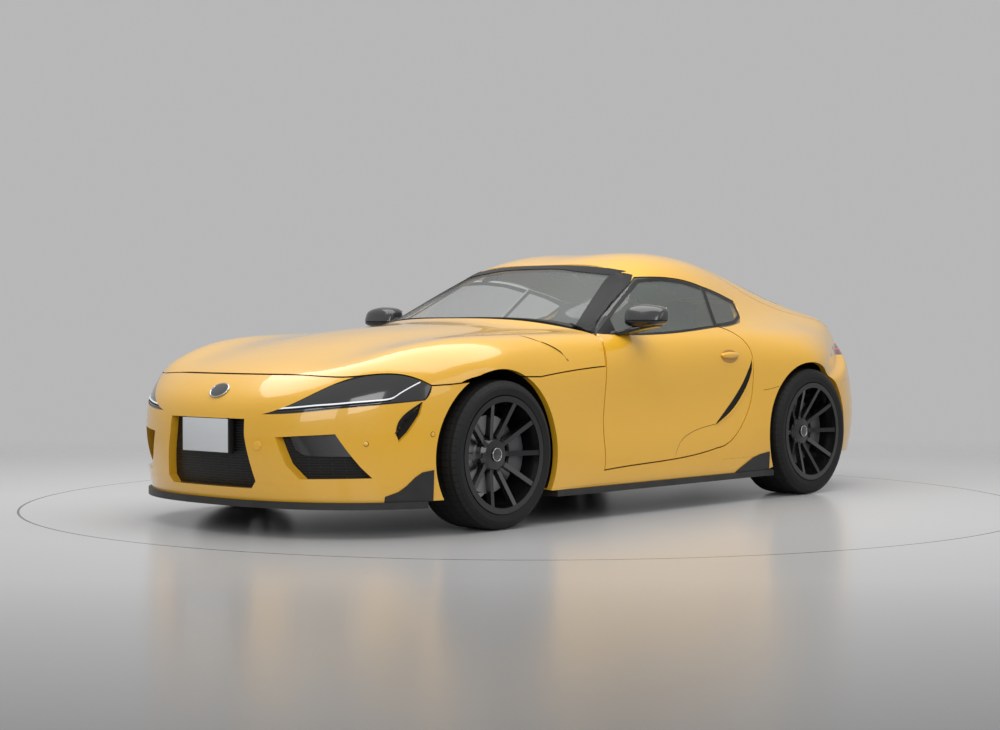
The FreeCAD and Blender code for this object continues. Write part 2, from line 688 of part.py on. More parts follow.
pillar_layer = slab("pillar_layer", 0, size("pillar_wall"), (12, 18), (4, 20), full=True)
pillar_outline = polygon("pillar_outline", "side", [
    (462, 872), (ROOF_FRONT + seam, 872), (ROOF_FRONT + seam, 1290), (462, 1290)])
pillar_prism = prism("pillar_prism", pillar_outline, "side", -reach, reach)
pillars = cut("pillars", common("pillar_blank", pillar_layer, pillar_prism), screen_room, side_light_room)
piece("screen_pillars", pillars)

screen_layer = slab("screen_layer", glass_in, glass_out + 2, (11, 18), (4, 20), full=True)
piece("windscreen", cut("screen_pane", common("screen_blank", screen_layer, screen_prism), side_light_room))

# Hatch with its glass
hatch_layer = slab("hatch_layer", 0, wall, (20, 31), (5, 19), full=True)
rear_glass_prism = prism("rear_glass_prism", rear_glass_outline, "plan", hatch_floor, ceiling)
rear_glass_room = prism("rear_glass_room", grown(rear_glass_outline, seam), "plan", hatch_floor, ceiling)
hatch_arm_outline = polygon("hatch_arm_outline", "side", [
    (-704, 1260), (-723, 1200), (-735, 1196), (-796, 1250), (-806, 1250), (-806, 1240), (-737, 1184),
    (-716, 1192),
    (-696, 1260)])
hatch_arm = fuse(
    "hatch_arm", prism("hatch_neck", hatch_arm_outline, "side", across(HATCH_ARM[0]), across(HATCH_ARM[1])),
    bar_across("hatch_knuckle", HEAD_RADIUS, HATCH_HINGE, *HATCH_ARM))
hatch_shell = cut("hatch_shell", common("hatch_blank", hatch_layer, hatch_prism), rear_glass_room)
hatch_bore = bar_across("hatch_bore", PIN_RADIUS + PIN_PLAY, HATCH_HINGE, HATCH_ARM[0] - 5, HATCH_ARM[1] + 5)
hatch = cut(
    "hatch", fuse("hatch_arms", hatch_shell, hatch_arm, mirrored("hatch_arm_twin", hatch_arm)),
    hatch_bore, mirrored("hatch_bore_twin", hatch_bore))
piece("hatch_panel", hatch)
hatch_glass_layer = slab("hatch_glass_layer", glass_in, glass_out, (20, 28), (6, 18), full=True)
piece("hatch_glass", common("hatch_pane", hatch_glass_layer, rear_glass_prism))

# Rear wings from the door round to the rear bumper
TAIL_HALF = 570
rear_layer = slab("rear_layer", 0, wall, (18, 32), (2, 12))
QUARTER_LINES = [
    [(-420, 226), (-420, 1000)], [(-420, 1000), (ROOF_BACK - 1, 1000)], [
        (ROOF_BACK - 1, 1000), (ROOF_BACK - 1, 1290)],
    [(ROOF_BACK - 1, 1290), (-2300, 1290)], [(-2300, 1290), (-2300, 640)], [(-2300, 640), (-1560, 600)],
    [(-1560, 600), (-1500, 226)], [(-1500, 226), (-420, 226)]]
quarter_outline = outline("quarter_outline", "side", QUARTER_LINES)
quarter_prism = prism("quarter_prism", quarter_outline, "side", 0, reach)
tail_room = box(
    "tail_room", (along(-2300), -across(TAIL_HALF), up(150)), (along(-1900), across(TAIL_HALF), up(800)))
LAMP_TAIL = [(-2092, 560, 812), (-2030, 700, 806), (-1930, 795, 800), (-1800, 865, 782)]
LAMP_TAIL_END = [(-1800, 865, 782), (-1835, 862, 742)]
LAMP_TAIL_FOOT = [(-1835, 862, 742), (-1950, 800, 742), (-2050, 700, 744), (-2105, 575, 750)]
tail_lamp_outline = outline("tail_lamp_outline", "rear_corner", [
    LAMP_TAIL, LAMP_TAIL_END, LAMP_TAIL_FOOT, [LAMP_TAIL_FOOT[-1], LAMP_TAIL[0]]])
tail_lamp_prism = prism("tail_lamp_prism", tail_lamp_outline, "rear_corner", 1200, 2600)
tail_lamp_room = prism("tail_lamp_room", grown(tail_lamp_outline, seam), "rear_corner", 1200, 2600)
quarter_window = cut("quarter_window", quarter_prism, rear_arch)
quarter = cut(
    "quarter", common("quarter_blank", rear_layer, quarter_window), door_room, side_light_room, hatch_room,
    tail_room, tail_lamp_room)
piece("quarter_left", quarter)
piece("quarter_right", mirrored("quarter_twin", quarter))

lamp_layer = slab("tail_lamp_layer", 2, size("lamp_depth"), (26, 32), (2, 11))
tail_lamp = cut("tail_lamp", common("tail_lamp_blank", lamp_layer, tail_lamp_prism), hatch_room)
piece("tail_lamps", together("tail_lamp_pair", tail_lamp, mirrored("tail_lamp_twin", tail_lamp)))

# Rear bumper, up to the hatch between the lamps, with the diffuser below
bumper_wall = size("bumper_wall")
rear_bumper_layer = slab("rear_bumper_layer", 0, bumper_wall, (26, LAST_ROW + 1), (1, 23), full=True)
rear_bumper_outline = polygon("rear_bumper_outline", "side", [
    (-1300, 226), (-1300, 794), (-2300, 794), (-2300, 180), (-1560, 180), (-1500, 226)])
rear_bumper_prism = prism("rear_bumper_prism", rear_bumper_outline, "side", -reach, reach)
quarter_room = cut(
    "quarter_room", prism("quarter_block", grown(quarter_outline, seam), "side", -reach, reach), tail_room)
diffuser_outline = polygon("diffuser_outline", "front", [
    (-560, 190), (560, 190), (520, 330), (330, 352), (-330, 352), (-520, 330)])
diffuser_prism = prism("diffuser_prism", diffuser_outline, "front", along(-2300), along(-1800))
diffuser_room = prism("diffuser_room", grown(diffuser_outline, seam), "front", along(-2300), along(-1800))
tail_lamp_rooms = together(
    "tail_lamp_rooms", tail_lamp_room, mirrored("tail_lamp_room_twin", tail_lamp_room))
rear_bumper = cut(
    "rear_bumper", common("rear_bumper_blank", rear_bumper_layer, rear_bumper_prism),
    quarter_room, rear_arch, diffuser_room, hatch_room, tail_lamp_rooms)
piece("rear_bumper", rear_bumper)
EXHAUST_OFFSET = 455
exhaust_radius = 52
diffuser_layer = slab("diffuser_layer", 0, bumper_wall + 40, (29, LAST_ROW + 1), (4, 20), full=True)
exhaust_height = up(282)
exhaust_holes = [
    cylinder("exhaust_hole_%d" % hand, exhaust_radius + seat, (
        along(-2300), hand * across(EXHAUST_OFFSET), exhaust_height),
             (along(-1800), hand * across(EXHAUST_OFFSET), exhaust_height)) for hand in (1, -1)]
diffuser = cut("diffuser", common("diffuser_blank", diffuser_layer, diffuser_prism), *exhaust_holes)
tips = []
for hand in (1, -1):
    start = (along(-2116), hand * across(EXHAUST_OFFSET), exhaust_height)
    end = (along(-1930), hand * across(EXHAUST_OFFSET), exhaust_height)
    bore = (along(-1960), hand * across(EXHAUST_OFFSET), exhaust_height)
    tips.append(cut("tip_%d" % hand, cylinder("tip_tube_%d" % hand, exhaust_radius, start, end),
                    cylinder("tip_bore_%d" % hand, exhaust_radius - 4, start, bore)))
piece("exhaust_tips", together("tips", *tips))

# Front bumper with its intakes, lamps and lip
LAMP_TOP = [(2145, 324, 522), (2092, 455, 567), (1951, 612, 663), (1855, 707, 694), (1744, 793, 690),
            (1690, 829, 667), (1651, 850, 645)]
LAMP_END = [(1651, 850, 645), (1662, 850, 610), (1690, 846, 580)]
LAMP_FOOT = [(1690, 846, 580), (1835, 776, 567), (2004, 625, 547), (2100, 464, 528), (2145, 324, 522)]
lamp_outline = outline("lamp_outline", "front_corner", [LAMP_TOP, LAMP_END, LAMP_FOOT])
lamp_prism = prism("lamp_prism", lamp_outline, "front_corner", 1200, 2600)
lamp_room = prism("lamp_room", grown(lamp_outline, seam), "front_corner", 1200, 2600)
lamp_rooms = together("lamp_rooms", lamp_room, mirrored("lamp_room_twin", lamp_room))
headlamp_layer = slab("headlamp_layer", 2, size("lamp_depth"), (2, 8), (1, 11))
headlamp = cut("headlamp", common("headlamp_blank", headlamp_layer, lamp_prism), bonnet_room)
piece("headlamps", together("headlamp_pair", headlamp, mirrored("headlamp_twin", headlamp)))

centre_intake = polygon("centre_intake", "front", [
    (-245, 500), (245, 500), (250, 426), (293, 235), (265, 203), (-265, 203), (-293, 235), (-250, 426)])
side_intake = polygon("side_intake", "front", [
    (405, 426), (638, 442), (713, 299), (740, 255), (498, 250), (446, 313)])
corner_duct = polygon("corner_duct", "side", [
    (1700, 575), (1785, 490), (1815, 440), (1805, 404), (1765, 445), (1715, 520)])
intake_start = along(1500)
intake_end = along(2300)
side_hole = prism("side_hole", side_intake, "front", intake_start, intake_end)
duct_hole = prism("duct_hole", corner_duct, "side", across(700), reach)
intake_holes = together(
    "intake_holes", prism("centre_hole", centre_intake, "front", intake_start, intake_end),
    side_hole, mirrored("side_hole_twin", side_hole), duct_hole, mirrored("duct_hole_twin", duct_hole))
front_bumper_layer = slab("front_bumper_layer", 0, bumper_wall, (0, 7), (1, 23), full=True)
front_bumper_outline = polygon(
    "front_bumper_outline", "side", [(1400, 152), (2300, 152), (2300, 720), (1400, 720)])
front_bumper_prism = prism("front_bumper_prism", front_bumper_outline, "side", -reach, reach)
front_bumper = cut(
    "front_bumper", common("front_bumper_blank", front_bumper_layer, front_bumper_prism),
    bonnet_room, front_arch, lamp_rooms, intake_holes)
piece("front_bumper", front_bumper)

grille_layer = slab("grille_layer", bumper_wall + seat, bumper_wall + 14, (0, 6), (3, 21), full=True)
grille_side = prism("grille_side", grown(side_intake, 45), "front", intake_start, intake_end)
grille_duct = prism("grille_duct", grown(corner_duct, 12), "side", across(700), reach)
grille_rooms = together(
    "grille_rooms", prism("grille_centre", grown(centre_intake, 12), "front", intake_start, intake_end),
    grille_side, mirrored("grille_side_twin", grille_side), grille_duct, mirrored(
        "grille_duct_twin", grille_duct))
piece("grilles", cut("grille_plates", common("grille_blank", grille_layer, grille_rooms), lamp_rooms))

splitter_top = up(152) - seat


def lip_point(j, margin):
    """Point on the plan of the lip beside one line of the lowest bumper row."""
    x, y, z = FRONT_ROWS[0][j]
    bow = sqrt((x - DRAWN_FRONT_AXLE) ** 2 + y ** 2)
    return (x + margin * (x - DRAWN_FRONT_AXLE) / bow, y + margin * y / bow)


lip_half = [lip_point(j, 14) for j in range(0, 10)]
lip_tail = lip_half[-1]
splitter_outline = outline("splitter_outline", "plan", [
    flipped(lip_half) + lip_half[1:], [lip_tail, (lip_tail[0], 600)],
    [(lip_tail[0], 600), (1900, 430)], [(1900, 430), (1900, -430)], [(1900, -430), (lip_tail[0], -600)],
    [(lip_tail[0], -600), (lip_tail[0], -lip_tail[1])]])
splitter = prism("splitter", splitter_outline, "plan", size("splitter_bottom"), splitter_top)

# Black fins stand on the bumper corners over the lip, before the rear wheels and behind them
FIN_WALL = 6


def fin(name, points, rows, columns):
    """Thin fin on the outside of the skin, drawn from the side."""
    layer = slab(name + "_layer", -FIN_WALL, -seat, rows, columns)
    return common(
        name, layer, prism(name + "_prism", polygon(name + "_outline", "side", points), "side", 0, reach))


lip_fin = fin("lip_fin", [
    (1850, 152), (1849, 176), (1800, 196), (1768, 222), (1737, 254), (1706, 275), (1655, 283), (1655, 152)],
    (1, 9), (5, 13))
piece("front_splitter", together("lip", splitter, lip_fin, mirrored("lip_fin_twin", lip_fin)))

# Sills under the doors, with the black skirts below them
sill_layer = slab("sill_layer", 0, size("door_depth"), (9, 23), (8, 13))
sill_outline = polygon("sill_outline", "side", [(1100, 152), (1100, 212), (-1000, 332), (-1000, 152)])
sill_prism = prism("sill_prism", sill_outline, "side", 0, reach)
wing_block = prism("wing_block", grown(wing_outline, seam), "side", 0, reach)
quarter_side_block = prism("quarter_side_block", grown(quarter_outline, seam), "side", 0, reach)
LINER_OUTER = 845
liner_rim = size("liner_radius") + size("liner_wall")
liner_rooms = [
    cylinder("%s_liner_room" % end, liner_rim + seat, (axle, 0, arch_height),
             (axle, across(LINER_OUTER) + seat, arch_height))
    for end, axle in (("front", front_axle), ("rear", rear_axle))]
sill = cut("sill", common("sill_blank", sill_layer, sill_prism), door_room, wing_block, quarter_side_block,
           front_arch, rear_arch, *liner_rooms)
sill_solids = together("sill_pair", sill, mirrored("sill_twin", sill))
piece("sills", sill_solids)
skirt_outline = polygon(
    "skirt_outline", "plan", [(885, 800), (885, 905), (640, 918), (-760, 918), (-835, 930), (-835, 800)])
skirt = prism("skirt", skirt_outline, "plan", up(122), up(152) - seat)
skirt_fin = fin("skirt_fin", [
    (-520, 152), (-566, 174), (-601, 188), (-680, 222), (-739, 236), (-822, 246), (-822, 152)], (17,
    24), (8, 13))
piece("side_skirts", together(
    "skirt_pair", skirt, mirrored("skirt_twin", skirt), skirt_fin, mirrored("skirt_fin_twin", skirt_fin)))
corner_fin = fin(
    "corner_fin", [(-1693, 226), (-1693, 340), (-1760, 352), (-1880, 360), (-1900, 236)], (26, 32), (2, 12))
piece(
    "rear_diffuser",
    together("diffuser_set", diffuser, corner_fin, mirrored("corner_fin_twin", corner_fin)))

# Floor pan with its jacking pads
floor_bottom = size("floor_bottom")
floor_top = floor_bottom + size("floor_wall")
floor_front = front_axle - 375
floor_back = rear_axle + 365
SPINE_HALF = 390
floor_wide = box(
    "floor_wide", (floor_back, -across(840), floor_bottom), (floor_front, across(840), floor_top))
floor_spine = box(
    "floor_spine", (along(-1980), -SPINE_HALF, floor_bottom), (along(2040), SPINE_HALF, floor_top))
PAD_RADIUS = 38
pad_places = [(floor_front - 190, 1), (floor_front - 190, -1), (floor_back + 200, 1), (floor_back + 200, -1)]
pads = [
    cylinder("pad_%d" % index, PAD_RADIUS, (x, hand * across(700), floor_bottom - size("pad_drop")),
             (x, hand * across(700), floor_bottom + 10))
    for index, (x, hand) in enumerate(pad_places)]
floor = cut("floor", fuse("floor_blank", floor_wide, floor_spine, *pads), sill_solids)
piece("floor_pan", floor)

# Bulkhead, cowl and cabin
FIREWALL_BACK = 600
firewall_front = along(FIREWALL_BACK + 40)
firewall_parts = [box("firewall_plate", (along(FIREWALL_BACK), -across(700), floor_top + seat),
                      (firewall_front, across(700), up(835)))]
PILLAR_INNER = 670
hinge_parts = [box("hinge_pillar", (along(548), across(PILLAR_INNER), floor_top + seat),
                   (along(FIREWALL_BACK + 20), across(788), up(690)))]
for level, z in enumerate(DOOR_HINGE_HEIGHTS):
    x, y, z = door_hinge(z)
    centre = V(along(x), across(y), up(z))
    hinge_parts.append(cylinder(
        "door_hinge_head_%d" % level, NECK_HALF, tuple(centre - V(0, 0, BRACKET_HALF)),
        tuple(centre + V(0, 0, BRACKET_HALF))))
    hinge_parts.append(box(
        "door_hinge_neck_%d" % level, tuple(centre + V(-NECK_HALF, -NECK_LENGTH, -BRACKET_HALF)),
        tuple(centre + V(NECK_HALF, 0, BRACKET_HALF))))
    hinge_parts.append(box(
        "door_hinge_arm_%d" % level, tuple(centre + V(-NECK_HALF, -NECK_LENGTH, -BRACKET_HALF)),
        (along(560), centre.y - NECK_LENGTH + 2 * NECK_HALF, centre.z + BRACKET_HALF)))
    hinge_parts.append(door_pin("door_hinge_pin_%d" % level, PIN_RADIUS, z - BRACKET_HALF, z + PIN_RISE))
bracket_outline = polygon("bracket_outline", "side", [
    (488, 856), (500, 850), (515, 838), (548, 830), (605, 820), (605, 790), (540, 798), (496, 826),
    (488, 845)])
hinge_parts.append(
    prism("bonnet_bracket", bracket_outline, "side", across(BONNET_BRACKET[0]), across(BONNET_BRACKET[1])))
hinge_parts.append(bar_across("bonnet_head", HEAD_RADIUS, BONNET_HINGE, *BONNET_BRACKET))
hinge_parts.append(bar_across("bonnet_pin", PIN_RADIUS, BONNET_HINGE, BONNET_BRACKET[0], BONNET_BOSS[1] - 2))
hinges = fuse("hinges", *hinge_parts)
piece("firewall", fuse("firewall_hinges", *firewall_parts, hinges, mirrored("hinges_twin", hinges)))
cowl_layer = slab("cowl_layer", 4, 40, (10, 15), (4, 20), full=True)
cowl_outline = outline("cowl_outline", "plan", [
    [(440, -650), (484, -650)], [(484, -650), (562, -400), (626, 0), (562, 400), (484, 650)],
    [(484, 650), (440, 650)], [(440, 650), (440, -650)]])
cowl_prism = prism("cowl_prism", cowl_outline, "plan", up(700), ceiling)
piece("cowl", cut("cowl_strip", common("cowl_blank", cowl_layer, cowl_prism), screen_room, pillar_prism))

wheel_tilt = 25
steer_x = along(60)
steer_y = size("seat_offset")
steer_z = up(745)
column_way = V(cos(radians(wheel_tilt)), 0, -sin(radians(wheel_tilt)))
steer_centre = V(steer_x, steer_y, steer_z)
deck = (floor_top + seat) / up(1)
dash_front = FIREWALL_BACK - seat
dash_room = slab("dash_room", -20, 41, (10, 18), (4, 20), full=True)
dash_outline = polygon("dash_outline", "side", [
    (dash_front, 640), (dash_front, 842), (430, 862), (220, 846), (160, 800), (180, 715), (300, 640)])
dash_half = across(PILLAR_INNER) - seat
dash_block = prism("dash_block", dash_outline, "side", -dash_half, dash_half)
column_start = steer_centre + column_way * 42
column_end = steer_centre + column_way * 200
column = cylinder("column", 34, tuple(column_start), tuple(column_end))
piece("dashboard", fuse("dash", cut("dash_pad", dash_block, dash_room), column))
console_outline = outline("console_outline", "side", [
    [(dash_front, deck), (dash_front, 560)], [(dash_front, 560), (260, 620)], [
        (260, 620), (60, 520), (-150, 450)],
    [(-150, 450), (-640, 440)], [(-640, 440), (-640, deck)], [(-640, deck), (dash_front, deck)]])
piece("centre_console", prism("console", console_outline, "side", -110, 110))

SEAT_HALF = 235
HEAD_HALF = 125


def seat_solid(name, hand):
    """Seat with its cushion, back and head rest in one padded shape."""
    middle = hand * size("seat_offset")
    body_side = outline(name + "_side", "side", [
        [(-150, deck), (-90, 330)], [(-90, 330), (-70, 400), (-130, 440)],
        [(-130, 440), (-500, 405), (-560, 440)], [(-560, 440), (-625, 640), (-672, 840)],
        [(-672, 840), (-700, 872), (-760, 872), (-786, 840)],
        [(-786, 840), (-772, 700), (-740, 560), (-690, 330)], [(-690, 330), (-600, deck)],
        [(-600, deck), (-150, deck)]])
    head_side = outline(name + "_head_side", "side", [
        [(-680, 820), (-712, 960), (-732, 1040)], [(-732, 1040), (-750, 1072), (-792, 1072), (-806, 1040)],
        [(-806, 1040), (-800, 940), (-784, 820)], [(-784, 820), (-680, 820)]])
    body = prism(name + "_body", body_side, "side", middle - SEAT_HALF, middle + SEAT_HALF)
    head = prism(name + "_head", head_side, "side", middle - HEAD_HALF, middle + HEAD_HALF)
    return fuse(name, body, head)


piece("seat_left", seat_solid("seat_shape_left", 1))
piece("seat_right", seat_solid("seat_shape_right", -1))

boot_outline = polygon("boot_outline", "side", [
    (-850, deck), (-850, 620), (-1960, 620), (-1960, 600), (-870, 600), (-870, deck)])
piece("luggage_floor", prism("boot_tray", boot_outline, "side", -470, 470))

# Front rails, engine and the arms that carry the knuckles
RAIL_INNER = 330
RAIL_OUTER = 400
rail_pair = [
    box("rail_%d" % hand, (firewall_front + seat, hand * RAIL_INNER, up(300)),
        (along(1985), hand * RAIL_OUTER, up(400))) for hand in (1, -1)]
beam = box("crash_beam", (along(1985), -across(455), up(300)), (along(2020), across(455), up(420)))
piece("front_rails", fuse("rails", beam, *rail_pair))
MEMBER_TOP = 298
piece("engine_block", box("engine", (along(760), -(RAIL_INNER - seat), up(MEMBER_TOP) + seat),
                          (along(1440), RAIL_INNER - seat, up(770))))

kingpin_y = half_track - size("kingpin_inset")
front_height = size("front_tyre_radius")
rear_height = size("rear_tyre_radius")
KNUCKLE_FOOT = -125
KNUCKLE_HEAD = 130
ARM_HALF = 26
ARM_THICK = 28
TOWER_OUTER = 455
arms = [box("cross_member", (front_axle - 90, -RAIL_OUTER, floor_top + seat),
            (front_axle + 90, RAIL_OUTER, up(MEMBER_TOP)))]
for hand in (1, -1):
    foot = front_height + KNUCKLE_FOOT - seat
    head = front_height + KNUCKLE_HEAD + seat
    for level, low in (("lower", foot - ARM_THICK), ("upper", head)):
        arms.append(cylinder("%s_eye_%d" % (level, hand), ARM_HALF, (front_axle, hand * kingpin_y, low),
                             (front_axle, hand * kingpin_y, low + ARM_THICK)))
        arms.append(box("%s_arm_%d" % (level, hand), (front_axle - ARM_HALF, hand * (RAIL_OUTER - 5), low),
                        (front_axle + ARM_HALF, hand * kingpin_y, low + ARM_THICK)))
    arms.append(box("tower_%d" % hand, (front_axle - 65, hand * (RAIL_OUTER + seat), floor_top + 20),
                    (front_axle + 65, hand * TOWER_OUTER, head + ARM_THICK)))
    arms.append(box("tower_foot_%d" % hand, (front_axle - 65, hand * (RAIL_OUTER - 10), floor_top + seat),
                    (front_axle + 65, hand * TOWER_OUTER, up(290))))
piece("front_suspension", fuse("front_arms", *arms))


def turned(name, profile, wheel_place, angle=360, start=0):
    """Profile of radius and offset turned about a wheel's axis and put in its place."""
    centre, hand = wheel_place
    sketch = doc.addObject("Sketcher::SketchObject", name + "_profile")
    points = [V(radius, offset * hand, 0) for radius, offset in profile]
    for a, b in zip(points, points[1:] + points[:1]):
        sketch.addGeometry(Part.LineSegment(a, b))
    body = doc.addObject("Part::Revolution", name)
    body.Source = sketch
    body.Axis = V(0, 1, 0)
    body.Base = V(0, 0, 0)
    body.Angle = angle
    body.Solid = True
    body.Placement = FreeCAD.Placement(centre, FreeCAD.Rotation(V(0, 1, 0), start))
    return body


def hub_bar(name, radius, wheel_place, inner, outer):
    """Round bar on a wheel's axis."""
    centre, hand = wheel_place
    return cylinder(
        name, radius, tuple(centre + V(0, hand * inner, 0)), tuple(centre + V(0, hand * outer, 0)))


def upright(name, wheel_place, calliper_start):
    """Upright with its stub axle and calliper."""
    centre, hand = wheel_place
    plate = box(
        name + "_plate", tuple(centre + V(-45, hand * -62, -112)), tuple(centre + V(45, hand * -22, 118)))
    stub = hub_bar(name + "_stub", size("stub_radius"), wheel_place, -40, 21)
    jaw = disc_front + 6
    back = disc_back - 6
    rim_of_disc = size("disc_radius") + 6
    profile = [(118, back - 26), (rim_of_disc + 16, back - 26), (rim_of_disc + 16, jaw + 18),
               (118, jaw + 18),
               (118, jaw), (rim_of_disc, jaw), (rim_of_disc, back), (118, back)]
    calliper = turned(name + "_calliper", profile, wheel_place, 56, calliper_start)
    toward = -1 if calliper_start == 152 else 1
    lug = box(name + "_lug", tuple(centre + V(toward * 30, hand * (back - 24), -38)),
              tuple(centre + V(toward * 140, hand * back, 38)))
    return [plate, stub, calliper, lug]


disc_back = -10
disc_front = disc_back + size("disc_thickness")


def knuckle(name, hand):
    """Front upright with the bosses that turn on the arms."""
    place = (V(front_axle, hand * half_track, front_height), hand)
    centre = place[0]
    parts = upright(name, place, 152)
    pin = -size("kingpin_inset")
    for level, low, high in (
        ("foot", KNUCKLE_FOOT, KNUCKLE_FOOT + 40), ("head", KNUCKLE_HEAD - 40, KNUCKLE_HEAD)):
        parts.append(cylinder("%s_%s" % (name, level), 24, tuple(centre + V(0, hand * pin, low)),
                              tuple(centre + V(0, hand * pin, high))))
    return fuse(name + "_solid", *parts)


piece("knuckle_left", knuckle("knuckle_shape_left", 1))
piece("knuckle_right", knuckle("knuckle_shape_right", -1))

carrier_parts = [
    box("rear_cross", (rear_axle - 160, -400, floor_top + seat), (rear_axle + 160, 400, up(330)))]
for hand in (1, -1):
    place = (V(rear_axle, hand * half_track, rear_height), hand)
    carrier_parts += upright("carrier_%d" % hand, place, -28)
    for level, low in (("lower", -110), ("upper", 82)):
        carrier_parts.append(box(
            "rear_%s_arm_%d" % (level, hand), (rear_axle - ARM_HALF, hand * 360, rear_height + low),
            (rear_axle + ARM_HALF, hand * (half_track - 40), rear_height + low + ARM_THICK)))
    carrier_parts.append(box("rear_tower_%d" % hand, (rear_axle - 60, hand * 340, up(300)),
                             (rear_axle + 60, hand * 400, rear_height + 110)))
piece("rear_suspension", fuse("rear_arms", *carrier_parts))

# Wheels: tyre, rim with paired spokes, and disc
SPOKE_SPREAD = 18
BEAD_INSET = 14


def tyre(name, wheel_place, radius, width):
    """Low tyre seated on the rim."""
    half = width / 2
    bead = size("bead_radius") + seat
    lip = size("rim_lip_radius") + seat
    shoulder = 16
    outer_half = [
        (bead, half - BEAD_INSET), (lip, half - BEAD_INSET), (lip + 6, half - 5), (bead + 50, half),
        (radius - shoulder - 8, half - 5), (radius - 4, half - shoulder - 4), (radius, half - 44)]
    return turned(name, [(r, -y) for r, y in outer_half] + outer_half[::-1], wheel_place)


def rim(name, wheel_place, width):
    """Rim barrel, hub and spokes."""
    centre, hand = wheel_place
    half = width / 2
    bead = size("bead_radius")
    wall_in = bead - size("rim_wall")
    lip = size("rim_lip_radius")
    edge = half - BEAD_INSET + seat
    parts = [turned(name + "_barrel", [
        (wall_in, -edge - 8), (lip, -edge - 8), (lip, -edge), (bead, -edge), (bead, edge), (lip, edge),
        (lip, edge + 8), (wall_in, edge + 8)], wheel_place)]
    parts.append(turned(name + "_hub", [
        (0, 30), (82, 30), (82, 50), (66, 66), (34, 70), (0, 70)], wheel_place))
    count = int(size("spoke_count"))
    outer = wall_in + 3
    side = [(50, 32), (50, 62), (80, 64), (outer, edge + 4), (outer, edge - 22), (130, 54), (78, 32)]
    for index in range(count):
        pair = index // 2
        lean = SPOKE_SPREAD if index % 2 else -SPOKE_SPREAD
        sketch = polygon(
            "%s_spoke_side_%d" % (name, index), "side", [(r, y * hand) for r, y in side], real=True)
        sketch.Placement = FreeCAD.Placement()
        spoke = doc.addObject("Part::Extrusion", "%s_spoke_%d" % (name, index))
        spoke.Base = sketch
        spoke.DirMode = "Custom"
        spoke.Dir = V(0, 0, 1)
        spoke.setExpression("LengthFwd", "Sizes.spoke_width / 2")
        spoke.setExpression("LengthRev", "Sizes.spoke_width / 2")
        spoke.Solid = True
        turn = 90 + pair * 720 / count + lean
        spoke.Placement = FreeCAD.Placement(centre, FreeCAD.Rotation(V(0, 1, 0), turn))
        parts.append(spoke)
    return fuse(name, *parts)


def disc(name, wheel_place):
    """Brake disc with the hub sleeve that runs on the stub axle."""
    radius = size("disc_radius")
    bore = size("stub_radius") + seat
    profile = [
        (bore, disc_back), (bore + 22, disc_back), (bore + 22, 22), (84, 22), (84, disc_back),
        (radius, disc_back),
        (radius, disc_front), (92, disc_front), (92, 30 - seat / 3), (bore, 30 - seat / 3)]
    return turned(name, profile, wheel_place)


WHEELS = {
    "front_left": (front_axle, 1, "front"), "front_right": (front_axle, -1, "front"),
    "rear_left": (rear_axle, 1, "rear"), "rear_right": (rear_axle, -1, "rear"),
}
for corner, (axle, hand, end) in WHEELS.items():
    radius = size(end + "_tyre_radius")
    width = size(end + "_tyre_width")
    place = (V(axle, hand * half_track, radius), hand)
    piece("tyre_" + corner, tyre("tyre_shape_" + corner, place, radius, width))
    piece("rim_" + corner, rim("rim_shape_" + corner, place, width))
    piece("disc_" + corner, disc("disc_shape_" + corner, place))

# Arch liners stand on the floor's edges
liners = []
bumper_rooms = {
    "front": slab("front_liner_limit", -20, bumper_wall + seat, (0, 9), (1, 12)),
    "rear": slab("rear_liner_limit", -20, bumper_wall + seat, (20, LAST_ROW + 1), (1, 12)),
}
LINER_INNER = 480
for end, axle in (("front", front_axle), ("rear", rear_axle)):
    ring_out = cylinder(end + "_liner_out", liner_rim, (axle, LINER_INNER, arch_height),
                        (axle, across(LINER_OUTER), arch_height))
    ring_in = cylinder(end + "_liner_in", size("liner_radius"), (axle, LINER_INNER - 10, arch_height),
                       (axle, reach, arch_height))
    under = box(end + "_liner_under", (axle - 2 * liner_rim, LINER_INNER - 20, -100),
                (axle + 2 * liner_rim, reach, floor_top + seat))
    liner = cut(end + "_liner", ring_out, ring_in, under, bumper_rooms[end])
    liners += [liner, mirrored(end + "_liner_twin", liner)]
piece("arch_liners", together("liners", *liners))

# Steering wheel
grip_radius = 15
grip = doc.addObject("Part::Torus", "grip")
grip.Radius1 = size("steering_wheel_radius") - grip_radius
grip.Radius2 = grip_radius
wheel_turn = FreeCAD.Rotation(V(0, 0, 1), column_way)
grip.Placement = FreeCAD.Placement(steer_centre, wheel_turn)
boss = cylinder(
    "wheel_boss", 52, tuple(steer_centre - column_way * 12), tuple(column_start - column_way * seat))
steering_parts = [grip, boss]
for index, turn in enumerate((0, 90, 180)):
    spoke = doc.addObject("Part::Box", "wheel_spoke_%d" % index)
    spoke.Length = size("steering_wheel_radius") - grip_radius
    spoke.Width = 36
    spoke.Height = 14
    around = FreeCAD.Rotation(V(0, 0, 1), turn)
    level = FreeCAD.Placement(steer_centre, wheel_turn * FreeCAD.Rotation(V(0, 0, 1), 90).multiply(around))
    spoke.Placement = level.multiply(FreeCAD.Placement(V(0, -18, -7), FreeCAD.Rotation()))
    steering_parts.append(spoke)
piece("steering_wheel", fuse("steering_wheel_solid", *steering_parts))

